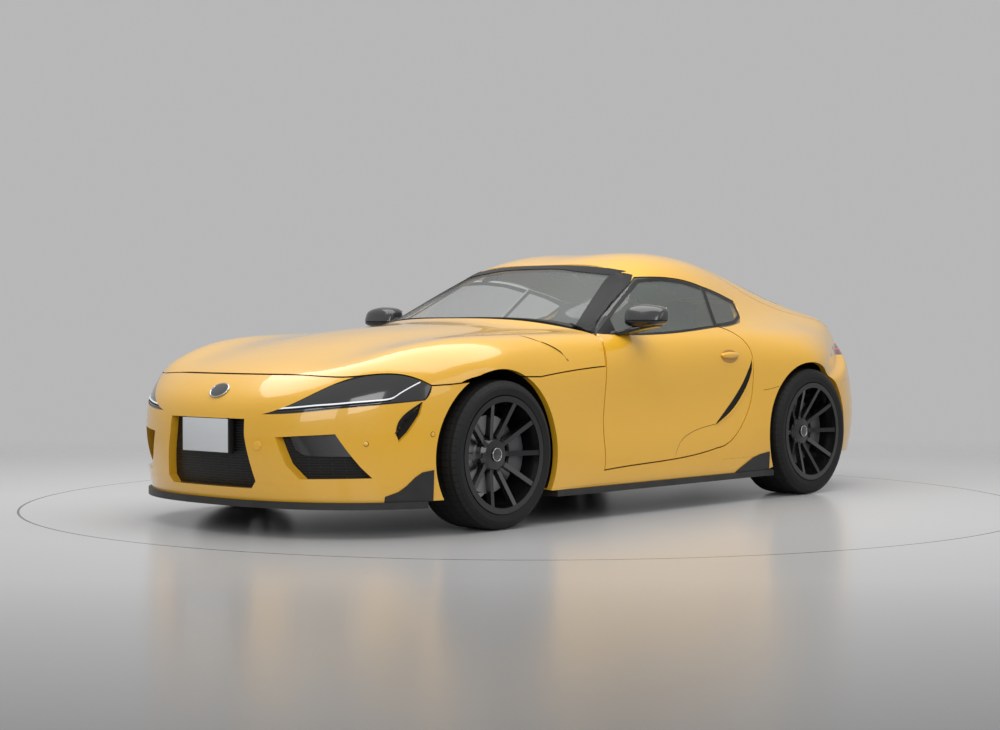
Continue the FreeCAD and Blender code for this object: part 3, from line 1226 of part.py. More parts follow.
# Door mirrors on the doors
bulb = doc.addObject("Part::Ellipsoid", "mirror_bulb")
bulb.Radius1 = 74
bulb.Radius2 = 92
bulb.Radius3 = 128
bulb.Placement = FreeCAD.Placement(V(along(214), across(905), up(948)), FreeCAD.Rotation())
mirror_room = box("mirror_room", (along(160), across(806), up(892)), (along(282), across(1012), up(1005)))
arm_outline = polygon("arm_outline", "front", [
    (802, 846), (802, 884), (860, 904), (930, 906), (930, 893), (870, 888), (826, 868), (812, 846)])
mirror_arm = prism("mirror_arm", arm_outline, "front", along(205), along(276))
mirror = cut(
    "mirror", fuse("mirror_blank", common("mirror_housing", bulb, mirror_room), mirror_arm), door_seat)
piece("mirror_left", mirror)
piece("mirror_right", mirrored("mirror_twin", mirror))

doc.recompute()
broken = []
for item in doc.Objects:
    if "Invalid" in item.State or "Error" in item.State:
        broken.append(item.Name)
for node, item in NODES.items():
    if item.Shape.isNull() or not item.Shape.isValid():
        broken.append(node)
if broken:
    raise RuntimeError("These objects did not build: " + ", ".join(broken))
os.makedirs("parts", exist_ok=True)
for node, item in NODES.items():
    item.Shape.exportStep("parts/%s.step" % node)
print("pieces", len(NODES))
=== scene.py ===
"""Looks of the two-seat coupe: finishes, small fittings, studio and camera."""

import logging
import math
from collections.abc import Iterable
from dataclasses import dataclass, field
from enum import Enum

import bpy
from mathutils import Matrix, Vector
from mathutils.bvhtree import BVHTree


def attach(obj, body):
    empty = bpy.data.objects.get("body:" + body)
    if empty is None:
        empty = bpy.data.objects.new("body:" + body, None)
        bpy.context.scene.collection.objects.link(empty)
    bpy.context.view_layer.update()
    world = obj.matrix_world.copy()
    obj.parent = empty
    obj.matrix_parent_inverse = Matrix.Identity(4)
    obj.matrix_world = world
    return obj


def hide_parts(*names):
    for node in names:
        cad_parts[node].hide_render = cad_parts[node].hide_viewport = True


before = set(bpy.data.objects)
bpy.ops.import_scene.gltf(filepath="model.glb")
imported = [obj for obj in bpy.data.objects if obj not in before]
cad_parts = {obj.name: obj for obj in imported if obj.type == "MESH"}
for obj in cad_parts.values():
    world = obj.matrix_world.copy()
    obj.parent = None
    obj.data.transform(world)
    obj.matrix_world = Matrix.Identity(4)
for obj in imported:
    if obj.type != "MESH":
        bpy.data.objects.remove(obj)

log = logging.getLogger("coupe")
Piece = bpy.types.Object
Node = bpy.types.Node
Socket = bpy.types.NodeSocket
Tree = bpy.types.NodeTree
Value = Socket | float | tuple[float, ...]
Pair = tuple[float, float]
Point = tuple[float, float, float]
Colour = tuple[float, float, float]
DUST_TONE = (0.32, 0.30, 0.27, 1)


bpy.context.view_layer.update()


class Group(Enum):
    """Shader groups that several finishes share."""

    GRAIN = "moulded_grain"
    TONE = "tone_drift"
    DUST = "settled_dust"


class Graph:
    """Adds nodes to one node tree."""

    def __init__(self, tree: Tree) -> None:
        """Keeps the tree."""
        self.tree = tree

    def fill(self, node: Node, values: dict[str | int, Value]) -> Node:
        """Sets or links inputs of a node.

        Args:
            node: The node.
            values: Plain value, or socket to link, of each input by name or number.

        Returns:
            The same node.
        """
        for key, value in values.items():
            if isinstance(value, Socket):
                self.tree.links.new(value, node.inputs[key])
            else:
                node.inputs[key].default_value = value
        return node

    def add(self, kind: str, values: dict[str | int, Value] | None = None,
            **settings: str | Tree) -> Node:
        """Adds one node.

        Args:
            kind: Node type after its ShaderNode start.
            values: Its inputs, as in fill.
            settings: Its properties, such as its operation.

        Returns:
            The node.
        """
        node = self.tree.nodes.new(f"ShaderNode{kind}")
        for name, value in settings.items():
            setattr(node, name, value)
        return self.fill(node, values or {})

    def math(self, operation: str, first: Value, second: Value = 0.0, third: Value = 0.0) -> Socket:
        """Output of one math node."""
        return self.add("Math", {0: first, 1: second, 2: third}, operation=operation).outputs[0]

    def mix(self, factor: Value, first: Value, second: Value) -> Socket:
        """Output of a node that mixes two colours."""
        return self.add("Mix", {"Factor": factor, 6: first, 7: second}, data_type="RGBA").outputs[2]

    def axes(self, kind: str = "Object") -> bpy.types.NodeOutputs:
        """Coordinates taken apart, to be read as X, Y and Z."""
        return self.add("SeparateXYZ", {0: self.add("TexCoord").outputs[kind]}).outputs

    def squares(self, first: Socket, second: Socket) -> Socket:
        """Sum of the squares of two numbers."""
        return self.math("ADD", self.math("MULTIPLY", first, first), self.math("MULTIPLY", second, second))

    def stripes(self, place: Socket, rate: float, level: float) -> Socket:
        """Mask of regular stripes.

        Args:
            place: Number that grows across the stripes.
            rate: Radians of the wave for each unit of it.
            level: Height of the wave from which the mask is 1.

        Returns:
            The mask.
        """
        return self.math("GREATER_THAN", self.math("SINE", self.math("MULTIPLY", place, rate)), level)

    def ramp(self, place: Socket, stops: tuple[Pair, ...], blue: float = 1.0) -> Socket:
        """Grey ramp.

        Args:
            place: Number that moves along the ramp.
            stops: Place and grey of each stop.
            blue: Blue of each grey against its red and green.

        Returns:
            The colour.
        """
        ramp = self.add("ValToRGB", {"Fac": place})
        elements = ramp.color_ramp.elements
        for index, (spot, tone) in enumerate(stops):
            stop = elements[index] if index < 2 else elements.new(spot)
            stop.position = spot
            stop.color = (tone, tone, tone * blue, 1)
        return ramp.outputs["Color"]

    def bump(self, surface: Node, height: Socket, strength: float, depth: float) -> None:
        """Raises a surface by a height.

        Args:
            surface: Principled node.
            height: The height.
            strength: Strength of the bump.
            depth: Bump distance in metres.
        """
        bump = self.add("Bump", {"Strength": strength, "Distance": depth, "Height": height})
        self.fill(surface, {"Normal": bump.outputs["Normal"]})


def new_material(name: str) -> tuple[bpy.types.Material, Graph, Node]:
    """Makes a node material.

    Args:
        name: Material name.

    Returns:
        The material, its graph and its Principled node.
    """
    material = bpy.data.materials.new(name)
    material.use_nodes = True
    return material, Graph(material.node_tree), material.node_tree.nodes["Principled BSDF"]


class ShaderGroups:
    """Builds each shared shader group once."""

    def __init__(self) -> None:
        """Makes the three groups."""
        self.trees: dict[Group, Tree] = {
            Group.GRAIN: self.grain(), Group.TONE: self.tone(), Group.DUST: self.dust()}

    def blank(self, group: Group, inputs: dict[str, float | None],
              outputs: tuple[str, ...]) -> tuple[Graph, Node, Node]:
        """Makes an empty group with its ends.

        Args:
            group: Which of the shared groups it is.
            inputs: Names of its inputs with their numbers, or None for a colour.
            outputs: Names of its outputs.

        Returns:
            The graph, its input node and its output node.
        """
        tree = bpy.data.node_groups.new(group.value, "ShaderNodeTree")
        for name, value in inputs.items():
            kind = "NodeSocketColor" if value is None else "NodeSocketFloat"
            socket = tree.interface.new_socket(name=name, in_out="INPUT", socket_type=kind)
            if value is not None:
                socket.default_value = value
        for name in outputs:
            kind = "NodeSocketColor" if name == "Color" else "NodeSocketFloat"
            tree.interface.new_socket(name=name, in_out="OUTPUT", socket_type=kind)
        return Graph(tree), tree.nodes.new("NodeGroupInput"), tree.nodes.new("NodeGroupOutput")

    def grain(self) -> Tree:
        """Fine leathery grain of moulded plastic: a height and a roughness."""
        graph, start, end = self.blank(
            Group.GRAIN, {"Scale": 900.0, "Roughness": 0.5, "Spread": 0.1}, ("Height", "Roughness"))
        place = graph.add("TexCoord").outputs["Object"]
        cells = graph.add("TexVoronoi", {"Vector": place, "Scale": start.outputs["Scale"]})
        noise = graph.add("TexNoise", {"Vector": place, "Scale": 14.0, "Detail": 4.0})
        centred = graph.math("SUBTRACT", noise.outputs["Fac"], 0.5)
        spread = graph.math("MULTIPLY_ADD", centred, start.outputs["Spread"], start.outputs["Roughness"])
        graph.fill(end, {"Height": cells.outputs["Distance"], "Roughness": spread})
        return graph.tree

    def tone(self) -> Tree:
        """Slow drift of a colour between two near tones."""
        graph, start, end = self.blank(Group.TONE, {"Light": None, "Dark": None, "Scale": 3.0}, ("Color",))
        place = graph.add("TexCoord").outputs["Object"]
        noise = graph.add("TexNoise", {"Vector": place, "Scale": start.outputs["Scale"], "Detail": 3.0})
        colour = graph.mix(noise.outputs["Fac"], start.outputs["Light"], start.outputs["Dark"])
        graph.fill(end, {"Color": colour})
        return graph.tree

    def dust(self) -> Tree:
        """Pale dust that settles low down on the car: a mask from 0 to 1."""
        graph, start, end = self.blank(Group.DUST, {"Amount": 0.2}, ("Mask",))
        place = graph.add("TexCoord").outputs["Object"]
        noise = graph.add("TexNoise", {"Vector": place, "Scale": 9.0, "Detail": 6.0})
        height = graph.add("SeparateXYZ", {0: place}).outputs["Z"]
        low = graph.add("MapRange", {"Value": height, "From Min": 0.5, "From Max": 0.05})
        patches = graph.math("MULTIPLY", noise.outputs["Fac"], low.outputs["Result"])
        graph.fill(end, {"Mask": graph.math("MULTIPLY", patches, start.outputs["Amount"])})
        return graph.tree

    def place(self, graph: Graph, group: Group, values: dict[str | int, Value]) -> Node:
        """Puts a group node in a material and fills its inputs."""
        return graph.add("Group", values, node_tree=self.trees[group])


@dataclass(frozen=True)
class Finish:
    """One finish: tones, gloss, grain and dust of a Principled surface.

    Attributes:
        name: Material name.
        slot: Material slot of the record; not used here.
        light: Lighter tone.
        dark: Darker tone.
        roughness: Middle roughness.
        spread: How far the roughness drifts.
        metallic: 0 or 1.
        coat: Clear coat weight.
        coat_roughness: Roughness of that coat.
        grain_scale: Cells per metre of the grain.
        grain: Bump strength of the grain.
        grain_depth: Bump distance in metres.
        dust: Share of pale dust low down.
        tone_scale: Size of the drift of tone.
        specular: Specular level.
        glow: Strength of its own light.
    """

    name: str
    slot: str
    light: Colour
    dark: Colour
    roughness: float = 0.5
    spread: float = 0.06
    metallic: float = 0.0
    coat: float = 0.0
    coat_roughness: float = 0.03
    grain_scale: float = 1200.0
    grain: float = 0.0
    grain_depth: float = 0.0002
    dust: float = 0.0
    tone_scale: float = 3.0
    specular: float = 0.5
    glow: float = 0.0

    def build(self, groups: ShaderGroups) -> bpy.types.Material:
        """Makes the node material.

        Args:
            groups: The shared shader groups.

        Returns:
            The material.
        """
        material, graph, surface = new_material(self.name)
        colour = groups.place(graph, Group.TONE, {
            "Light": (*self.light, 1), "Dark": (*self.dark, 1), "Scale": self.tone_scale}).outputs["Color"]
        if self.dust:
            dust = groups.place(graph, Group.DUST, {"Amount": self.dust})
            colour = graph.mix(dust.outputs["Mask"], colour, DUST_TONE)
        grain = groups.place(graph, Group.GRAIN, {
            "Scale": self.grain_scale, "Roughness": self.roughness, "Spread": self.spread})
        if self.grain:
            graph.bump(surface, grain.outputs["Height"], self.grain, self.grain_depth)
        graph.fill(surface, {
            "Base Color": colour, "Roughness": grain.outputs["Roughness"], "Metallic": self.metallic,
            "Coat Weight": self.coat, "Coat Roughness": self.coat_roughness,
            "Specular IOR Level": self.specular})
        if self.glow:
            graph.fill(surface, {"Emission Color": (*self.light, 1), "Emission Strength": self.glow})
        return material


@dataclass(frozen=True)
class Glazing:
    """Clear or tinted glazing, seen through by its alpha; a pale base colour paints reflection on the pane.

    Attributes:
        name: Material name.
        slot: Material slot of the record; not used here.
        tint_and_reflection: Colour of the pane: its tint, and where pale also painted reflection.
        alpha: How much the pane covers what is behind it.
        roughness: Gloss of the pane.
        shade: Darker tone of the pane's colour against it.
    """

    name: str
    slot: str
    tint_and_reflection: Colour
    alpha: float
    roughness: float = 0.02
    shade: float = 0.8

    def build(self, groups: ShaderGroups) -> bpy.types.Material:
        """Makes the node material of the pane.

        Args:
            groups: The shared shader groups.

        Returns:
            The material.
        """
        material, graph, surface = new_material(self.name)
        tone = groups.place(graph, Group.TONE, {
            "Light": (*self.tint_and_reflection, 1), "Dark": (*(self.shade * c for c in self.tint_and_reflection), 1)})
        grain = groups.place(graph, Group.GRAIN, {"Roughness": self.roughness, "Spread": 0.02})
        graph.fill(surface, {
            "Base Color": tone.outputs["Color"], "Roughness": grain.outputs["Roughness"],
            "Alpha": self.alpha, "Coat Weight": 1.0, "Coat Roughness": 0.0})
        return material


@dataclass(frozen=True)
class TyreRubber:
    """Tyre rubber with shoulder sipes, running grooves and rings on its side wall.

    Attributes:
        name: Material name.
        slot: Material slot of the record; not used here.
        axle: Place of the axle along the car and its height.
        radius: Outer radius of the tyre.
        blocks: Shoulder blocks round the tyre.
        pitch: Distance between the running grooves.
        ring_pitch: Distance between the rings of the side wall.
        shoulder: Depth of the band that carries the sipes.
        crown: Depth of the band that carries the grooves.
        light: Lighter tone.
        dark: Darker tone.
        cut_shade: Painted shade down in the cuts, also mixed at 0.35 into the side wall's rings.
    """

    name: str
    slot: str
    axle: Pair
    radius: float
    blocks: int = 64
    pitch: float = 0.052
    ring_pitch: float = 0.017
    shoulder: float = 0.022
    crown: float = 0.006
    light: Colour = (0.0095, 0.0095, 0.0098)
    dark: Colour = (0.0062, 0.0062, 0.0064)
    cut_shade: Colour = (0.0015, 0.0015, 0.0015)

    def build(self, groups: ShaderGroups) -> bpy.types.Material:
        """Makes the node material.

        Args:
            groups: The shared shader groups.

        Returns:
            The material.
        """
        material, graph, surface = new_material(self.name)
        axes = graph.axes()
        along = graph.math("SUBTRACT", axes["X"], self.axle[0])
        up = graph.math("SUBTRACT", axes["Z"], self.axle[1])
        reach = graph.math("SQRT", graph.squares(along, up))
        sipe = graph.stripes(graph.math("ARCTAN2", along, up), float(self.blocks), 0.80)
        groove = graph.stripes(axes["Y"], 2 * math.pi / self.pitch, 0.72)
        ring = graph.stripes(reach, 2 * math.pi / self.ring_pitch, 0.93)
        shoulder = graph.math("GREATER_THAN", reach, self.radius - self.shoulder)
        crown = graph.math("GREATER_THAN", reach, self.radius - self.crown)
        cut = graph.math("MAXIMUM", graph.math("MULTIPLY", sipe, shoulder),
                         graph.math("MULTIPLY", groove, crown))
        mark = graph.math("MAXIMUM", cut, graph.math("MULTIPLY", ring, 0.35))
        tone = groups.place(graph, Group.TONE, {"Light": (*self.light, 1), "Dark": (*self.dark, 1)})
        grain = groups.place(graph, Group.GRAIN, {"Scale": 700.0, "Roughness": 0.62})
        # The cuts, and more faintly the side wall's rings, take painted shade as their colour.
        graph.fill(surface, {
            "Base Color": graph.mix(mark, tone.outputs["Color"], (*self.cut_shade, 1)),
            "Roughness": grain.outputs["Roughness"], "Specular IOR Level": 0.30})
        pores = graph.math("MULTIPLY", grain.outputs["Height"], 0.06)
        graph.bump(surface, graph.math("SUBTRACT", pores, mark), 0.7, 0.002)
        return material


@dataclass(frozen=True)
class GrilleMesh:
    """Black grille mesh: staggered openings between raised webs.

    Attributes:
        name: Material name.
        slot: Material slot of the record; not used here.
        opening_shade: Painted shade seen through the openings.
        web: Colour of the webs.
        row: Height of one row of openings.
        length: Length of one opening.
    """

    name: str
    slot: str
    opening_shade: Colour
    web: Colour
    row: float = 0.0115
    length: float = 0.085

    def build(self, groups: ShaderGroups) -> bpy.types.Material:
        """Makes the node material.

        Args:
            groups: The shared shader groups.

        Returns:
            The material.
        """
        material, graph, surface = new_material(self.name)
        axes = graph.axes()
        flat = graph.add("CombineXYZ", {"X": axes["Y"], "Y": axes["Z"]})
        # The openings take painted shade, near black against the webs.
        bricks = graph.add("TexBrick", {
            "Vector": flat.outputs[0], "Scale": 1.0, "Brick Width": self.length, "Row Height": self.row,
            "Mortar Size": self.row * 0.15, "Mortar Smooth": 0.3, "Color1": (*self.opening_shade, 1),
            "Color2": (*self.opening_shade, 1), "Mortar": (*self.web, 1)})
        grain = groups.place(graph, Group.GRAIN, {"Roughness": 0.42})
        graph.fill(surface, {
            "Base Color": bricks.outputs["Color"], "Roughness": grain.outputs["Roughness"],
            "Specular IOR Level": 0.30})
        graph.bump(surface, bricks.outputs["Fac"], 0.9, 0.003)
        return material


class Look(Enum):
    """Every finish of the car."""

    PAINT = Finish("amber_paint", "paint", (0.800, 0.430, 0.020), (0.775, 0.410, 0.018), 0.30, 0.03,
                   coat=1.0, coat_roughness=0.02, grain_scale=5200, grain=0.02, grain_depth=0.00004,
                   dust=0.06)
    GLOSS_BLACK = Finish("gloss_black", "rim", (0.006, 0.006, 0.007), (0.004, 0.004, 0.004), 0.22, 0.06,
                         coat=0.45, coat_roughness=0.06, dust=0.04, specular=0.35)
    SATIN_BLACK = Finish("satin_black", "trim", (0.012, 0.012, 0.013), (0.008, 0.008, 0.009), 0.46, 0.10,
                         grain_scale=2200, grain=0.15, grain_depth=0.0001, dust=0.12, specular=0.35)
    DEEP_BLACK = Finish("deep_black", "trim", (0.008, 0.008, 0.008), (0.004, 0.004, 0.004), 0.75, 0.10,
                        grain=0.2, dust=0.1, specular=0.25)
    RUBBER_FRONT = TyreRubber("tyre_rubber_front", "tyre", (1.265, 0.330), 0.330)
    RUBBER_REAR = TyreRubber("tyre_rubber_rear", "tyre", (-1.205, 0.337), 0.337)
    MESH = GrilleMesh("grille_mesh", "trim", (0.0016, 0.0016, 0.0017), (0.020, 0.020, 0.021))
    MACHINED = Finish("machined_iron", "disc", (0.34, 0.34, 0.35), (0.24, 0.24, 0.25), 0.32, 0.12,
                      metallic=1.0, grain_scale=400, grain=0.1)
    CAST = Finish("cast_iron_dark", "iron", (0.055, 0.055, 0.058), (0.035, 0.035, 0.037), 0.55, 0.12,
                  grain_scale=600, grain=0.35, grain_depth=0.0005)
    CALLIPER = Finish(
        "calliper_grey", "iron", (0.075, 0.077, 0.082), (0.055, 0.057, 0.060), 0.40, 0.08, coat=0.3)
    STEEL = Finish(
        "polished_steel", "steel", (0.60, 0.60, 0.61), (0.48, 0.48, 0.50), 0.18, 0.08, metallic=1.0)
    CLOTH = Finish("black_cloth", "seat", (0.030, 0.030, 0.033), (0.018, 0.018, 0.020), 0.85, 0.06,
                   grain_scale=700, grain=0.6, grain_depth=0.0005, tone_scale=20)
    CABIN = Finish("cabin_black", "trim", (0.020, 0.020, 0.021), (0.012, 0.012, 0.013), 0.62, 0.10,
                   grain_scale=1400, grain=0.35)
    COATED = Finish("coated_steel", "structure", (0.030, 0.030, 0.031), (0.020, 0.020, 0.021), 0.60, 0.10,
                    grain_scale=500, grain=0.2)
    TAIL_RED = Finish(
        "tail_red", "tail_lamp", (0.16, 0.004, 0.006), (0.09, 0.002, 0.003), 0.08, 0.02, coat=1.0)
    LAMP_BLACK = Finish(
        "lamp_black", "lamp", (0.020, 0.021, 0.023), (0.010, 0.010, 0.011), 0.14, 0.04, coat=1.0)
    LIGHT_STRIP = Finish("light_strip", "lamp", (0.80, 0.82, 0.85), (0.74, 0.76, 0.80), 0.20, 0.02, glow=0.30)
    TAIL_LIGHT = Finish(
        "tail_light", "tail_lamp", (0.70, 0.02, 0.02), (0.55, 0.01, 0.01), 0.2, 0.02, coat=1.0, glow=0.25)
    # Darker amber, painted shade: the cup under the door handle is a flat disc of this, not a real recess.
    PAINTED_SHADE = Finish(
        "amber_painted_shade", "paint", (0.45, 0.22, 0.012), (0.40, 0.20, 0.010), 0.35, 0.03, coat=0.6)
    PILLAR = Finish(
        "pillar_black", "trim", (0.009, 0.009, 0.010), (0.006, 0.006, 0.007), 0.36, 0.05, specular=0.22)
    MIRROR_CAP = Finish(
        "mirror_cap_black", "trim", (0.030, 0.030, 0.033), (0.022, 0.022, 0.024), 0.22, 0.04, coat=0.6)
    MIRROR = Finish("mirror_silver", "trim", (0.75, 0.76, 0.78), (0.70, 0.71, 0.73), 0.04, 0.01, metallic=1.0)
    PLATE = Finish("plate_white", "trim", (0.62, 0.64, 0.66), (0.58, 0.60, 0.62), 0.34, 0.05, grain=0.03)
    # Pale pane colours: tint plus painted reflection on the glass.
    PANE = Glazing("tinted_pane_painted_reflection", "glass", (0.260, 0.290, 0.270), 0.24)
    SCREEN = Glazing("clear_screen_painted_reflection", "glass", (0.430, 0.460, 0.445), 0.20)
    DARK_PANE = Glazing("dark_pane", "glass", (0.006, 0.007, 0.008), 0.84)
    SEAM = Finish("seam_thread", "seat", (0.070, 0.070, 0.075), (0.050, 0.050, 0.054), 0.70, 0.08,
                  grain_scale=1600, grain=0.4, grain_depth=0.0003, tone_scale=60)


NODE_LOOKS: dict[Look, tuple[str, ...]] = {
    Look.PAINT: ("bonnet", "hatch_panel", "door_panel_left", "door_panel_right", "fender_left",
                 "fender_right", "quarter_left", "quarter_right", "roof", "front_bumper", "rear_bumper",
                 "sills"),
    Look.GLOSS_BLACK: ("mirror_left", "mirror_right", "rim_front_left", "rim_front_right", "rim_rear_left",
                       "rim_rear_right"),
    Look.PILLAR: ("screen_pillars",),
    Look.SATIN_BLACK: ("front_splitter", "side_skirts", "rear_diffuser", "cowl"),
    Look.MESH: ("grilles",),
    Look.DEEP_BLACK: ("arch_liners",),
    Look.RUBBER_FRONT: ("tyre_front_left", "tyre_front_right"),
    Look.RUBBER_REAR: ("tyre_rear_left", "tyre_rear_right"),
    Look.MACHINED: ("disc_front_left", "disc_front_right", "disc_rear_left", "disc_rear_right"),
    Look.CALLIPER: ("knuckle_left", "knuckle_right"),
    Look.CAST: ("engine_block", "front_suspension", "rear_suspension"),
    Look.STEEL: ("exhaust_tips",),
    Look.CLOTH: ("seat_left", "seat_right"),
    Look.CABIN: ("dashboard", "centre_console", "steering_wheel"),
    Look.COATED: ("floor_pan", "firewall", "front_rails", "luggage_floor"),
    Look.TAIL_RED: ("tail_lamps",),
    Look.LAMP_BLACK: ("headlamps",),
    Look.PANE: ("door_glass_left", "door_glass_right", "quarter_glass"),
    Look.SCREEN: ("windscreen",),
    Look.DARK_PANE: ("hatch_glass",),
}


class Finishes:
    """Makes each finish once and hands it out."""

    def __init__(self) -> None:
        """Starts with the shared groups and no material."""
        self.groups = ShaderGroups()
        self.made: dict[Look, bpy.types.Material] = {}

    def of(self, look: Look) -> bpy.types.Material:
        """Material of a look."""
        if look not in self.made:
            self.made[look] = look.value.build(self.groups)
        return self.made[look]

    def dress_nodes(self) -> None:
        """Gives every CAD node its finish."""
        for look, nodes in NODE_LOOKS.items():
            for node in nodes:
                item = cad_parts[node]
                item.data.materials.clear()
                item.data.materials.append(self.of(look))
                log.info("dressed %s", node)


@dataclass
class Studio:
    """Camera, floor, backdrop and soft lamps.

    Attributes:
        eye: Camera place in metres.
        yaw: Camera heading in degrees.
        pitch: Camera tilt in degrees.
        focal: Focal length in millimetres on a 36 mm sensor.
        floor_tone: Grey of the floor under and behind the car, where its painted light ramp tops out.
        wall_tone: Grey of the wall behind.
        fill_low: Light from the surroundings near the floor.
        fill_high: Light from the surroundings overhead.
        table_centre: Middle of the turntable line.
        table_radius: Radius of the turntable line.
        line_half: Half width of that line.
        line_tone: Its colour.
        fade_near: Depth behind the middle from which the floor fades.
        fade_far: Depth at which it is gone.
    """

    eye: Point = (7.4005, 6.3893, 0.8726)
    yaw: float = 221.855
    pitch: float = -1.0255
    focal: float = 67.52
    floor_tone: float = 0.56
    wall_tone: float = 0.475
    fill_low: float = 0.25
    fill_high: float = 0.62
    table_centre: Pair = (0.096, 0.022)
    table_radius: float = 2.542
    line_half: float = 0.006
    line_tone: tuple[float, float, float, float] = (0.10, 0.10, 0.10, 1)
    fade_near: float = 2.2
    fade_far: float = 5.5

    def camera(self) -> None:
        """Makes the camera at the photograph's place."""
        data = bpy.data.cameras.new("camera")
        data.lens = self.focal
        data.sensor_width = 36.0
        data.clip_end = 100.0
        camera = bpy.data.objects.new("camera", data)
        heading, tilt = math.radians(self.yaw), math.radians(self.pitch)
        way = Vector((math.cos(heading) * math.cos(tilt), math.sin(heading) * math.cos(tilt), math.sin(tilt)))
        camera.location = self.eye
        camera.rotation_euler = way.to_track_quat("-Z", "Y").to_euler()
        bpy.context.scene.collection.objects.link(camera)
        bpy.context.scene.camera = camera

    def floor(self) -> None:
        """Makes the polished floor with its turntable line, fading into the backdrop behind the car; its grey
        is painted light, darker towards the camera and lighter under and behind the car.
        """
        bpy.ops.mesh.primitive_circle_add(vertices=96, radius=16, fill_type="NGON", location=(0, 0, -0.0005))
        floor = bpy.context.object
        floor.name = "studio_floor"
        material, graph, surface = new_material("studio_floor")
        axes = graph.axes()
        heading = math.radians(self.yaw)
        depth = graph.math("ADD", graph.math("MULTIPLY", axes["X"], math.cos(heading)),
                           graph.math("MULTIPLY", axes["Y"], math.sin(heading)))
        # Painted light: the floor's grey rises from dark near the camera to floor_tone under and behind the
        # car.
        floor_painted_light = graph.ramp(graph.math("MULTIPLY_ADD", depth, 0.1, 0.6), (
            (0.00, 0.13), (0.28, 0.45), (0.52, 0.52), (0.62, self.floor_tone), (1.0, self.floor_tone)), 1.005)
        shifted = [graph.math("SUBTRACT", axes[axis], centre)
                   for axis, centre in zip(("X", "Y"), self.table_centre)]
        reach = graph.math("SQRT", graph.squares(*shifted))
        away = graph.math("ABSOLUTE", graph.math("SUBTRACT", reach, self.table_radius))
        line = graph.math("LESS_THAN", away, self.line_half)
        fade = graph.add("MapRange", {"Value": depth, "From Min": self.fade_far, "From Max": self.fade_near},
                         interpolation_type="SMOOTHSTEP")
        graph.fill(surface, {
            "Base Color": graph.mix(line, floor_painted_light, self.line_tone), "Alpha": fade.outputs["Result"],
            "Roughness": 0.22, "Specular IOR Level": 0.38})
        floor.data.materials.append(material)

    def world(self) -> None:
        """Makes the grey surroundings: plain for the camera, dimmer and brighter overhead as a light."""
        world = bpy.data.worlds.new("studio")
        bpy.context.scene.world = world
        world.use_nodes = True
        graph = Graph(world.node_tree)
        up = graph.axes("Generated")["Z"]
        seen = graph.ramp(up, ((0.20, self.wall_tone), (0.75, self.fill_high)))
        lit = graph.ramp(up, ((0.0, self.fill_low), (0.75, self.fill_high)))
        rays = graph.add("LightPath").outputs
        direct = graph.math("MAXIMUM", rays["Is Camera Ray"], rays["Is Transmission Ray"])
        direct = graph.math("MAXIMUM", direct, rays["Is Glossy Ray"])
        back = world.node_tree.nodes["Background"]
        graph.fill(back, {"Color": graph.mix(direct, lit, seen), "Strength": 1.0})

    def lamp(self, name: str, place: Point, aim: Point, across: float, along: float, power: float) -> None:
        """Adds one soft box lamp.

        Args:
            name: Lamp name.
            place: Where it hangs.
            aim: Point it faces.
            across: Width in metres.
            along: Height in metres.
            power: Power in watts.
        """
        data = bpy.data.lights.new(name, "AREA")
        data.shape = "RECTANGLE"
        data.size = across
        data.size_y = along
        data.energy = power
        lamp = bpy.data.objects.new(name, data)
        lamp.location = place
        lamp.rotation_euler = (Vector(aim) - Vector(place)).to_track_quat("-Z", "Y").to_euler()
        bpy.context.scene.collection.objects.link(lamp)

    def build(self) -> None:
        """Makes the whole studio."""
        bpy.context.scene.view_settings.view_transform = "Standard"
        self.camera()
        self.floor()
        self.world()
        self.lamp("top_box", (0.6, 0.2, 3.8), (0.2, 0, 0.4), 6.4, 3.8, 190)
        self.lamp("front_box", (7.5, 2.4, 2.4), (0.6, 0, 0.6), 3.0, 2.0, 50)
        self.lamp("side_box", (-1.5, 7.0, 2.6), (0, 0, 0.6), 5.0, 2.0, 34)
        self.lamp("corner_box", (5.2, 5.0, 2.8), (2.2, 1.2, 0.1), 2.6, 2.6, 75)


def metres(points: Iterable[Point]) -> list[Point]:
    """Points given in millimetres, in metres."""
    return [(x / 1000, y / 1000, z / 1000) for x, y, z in points]


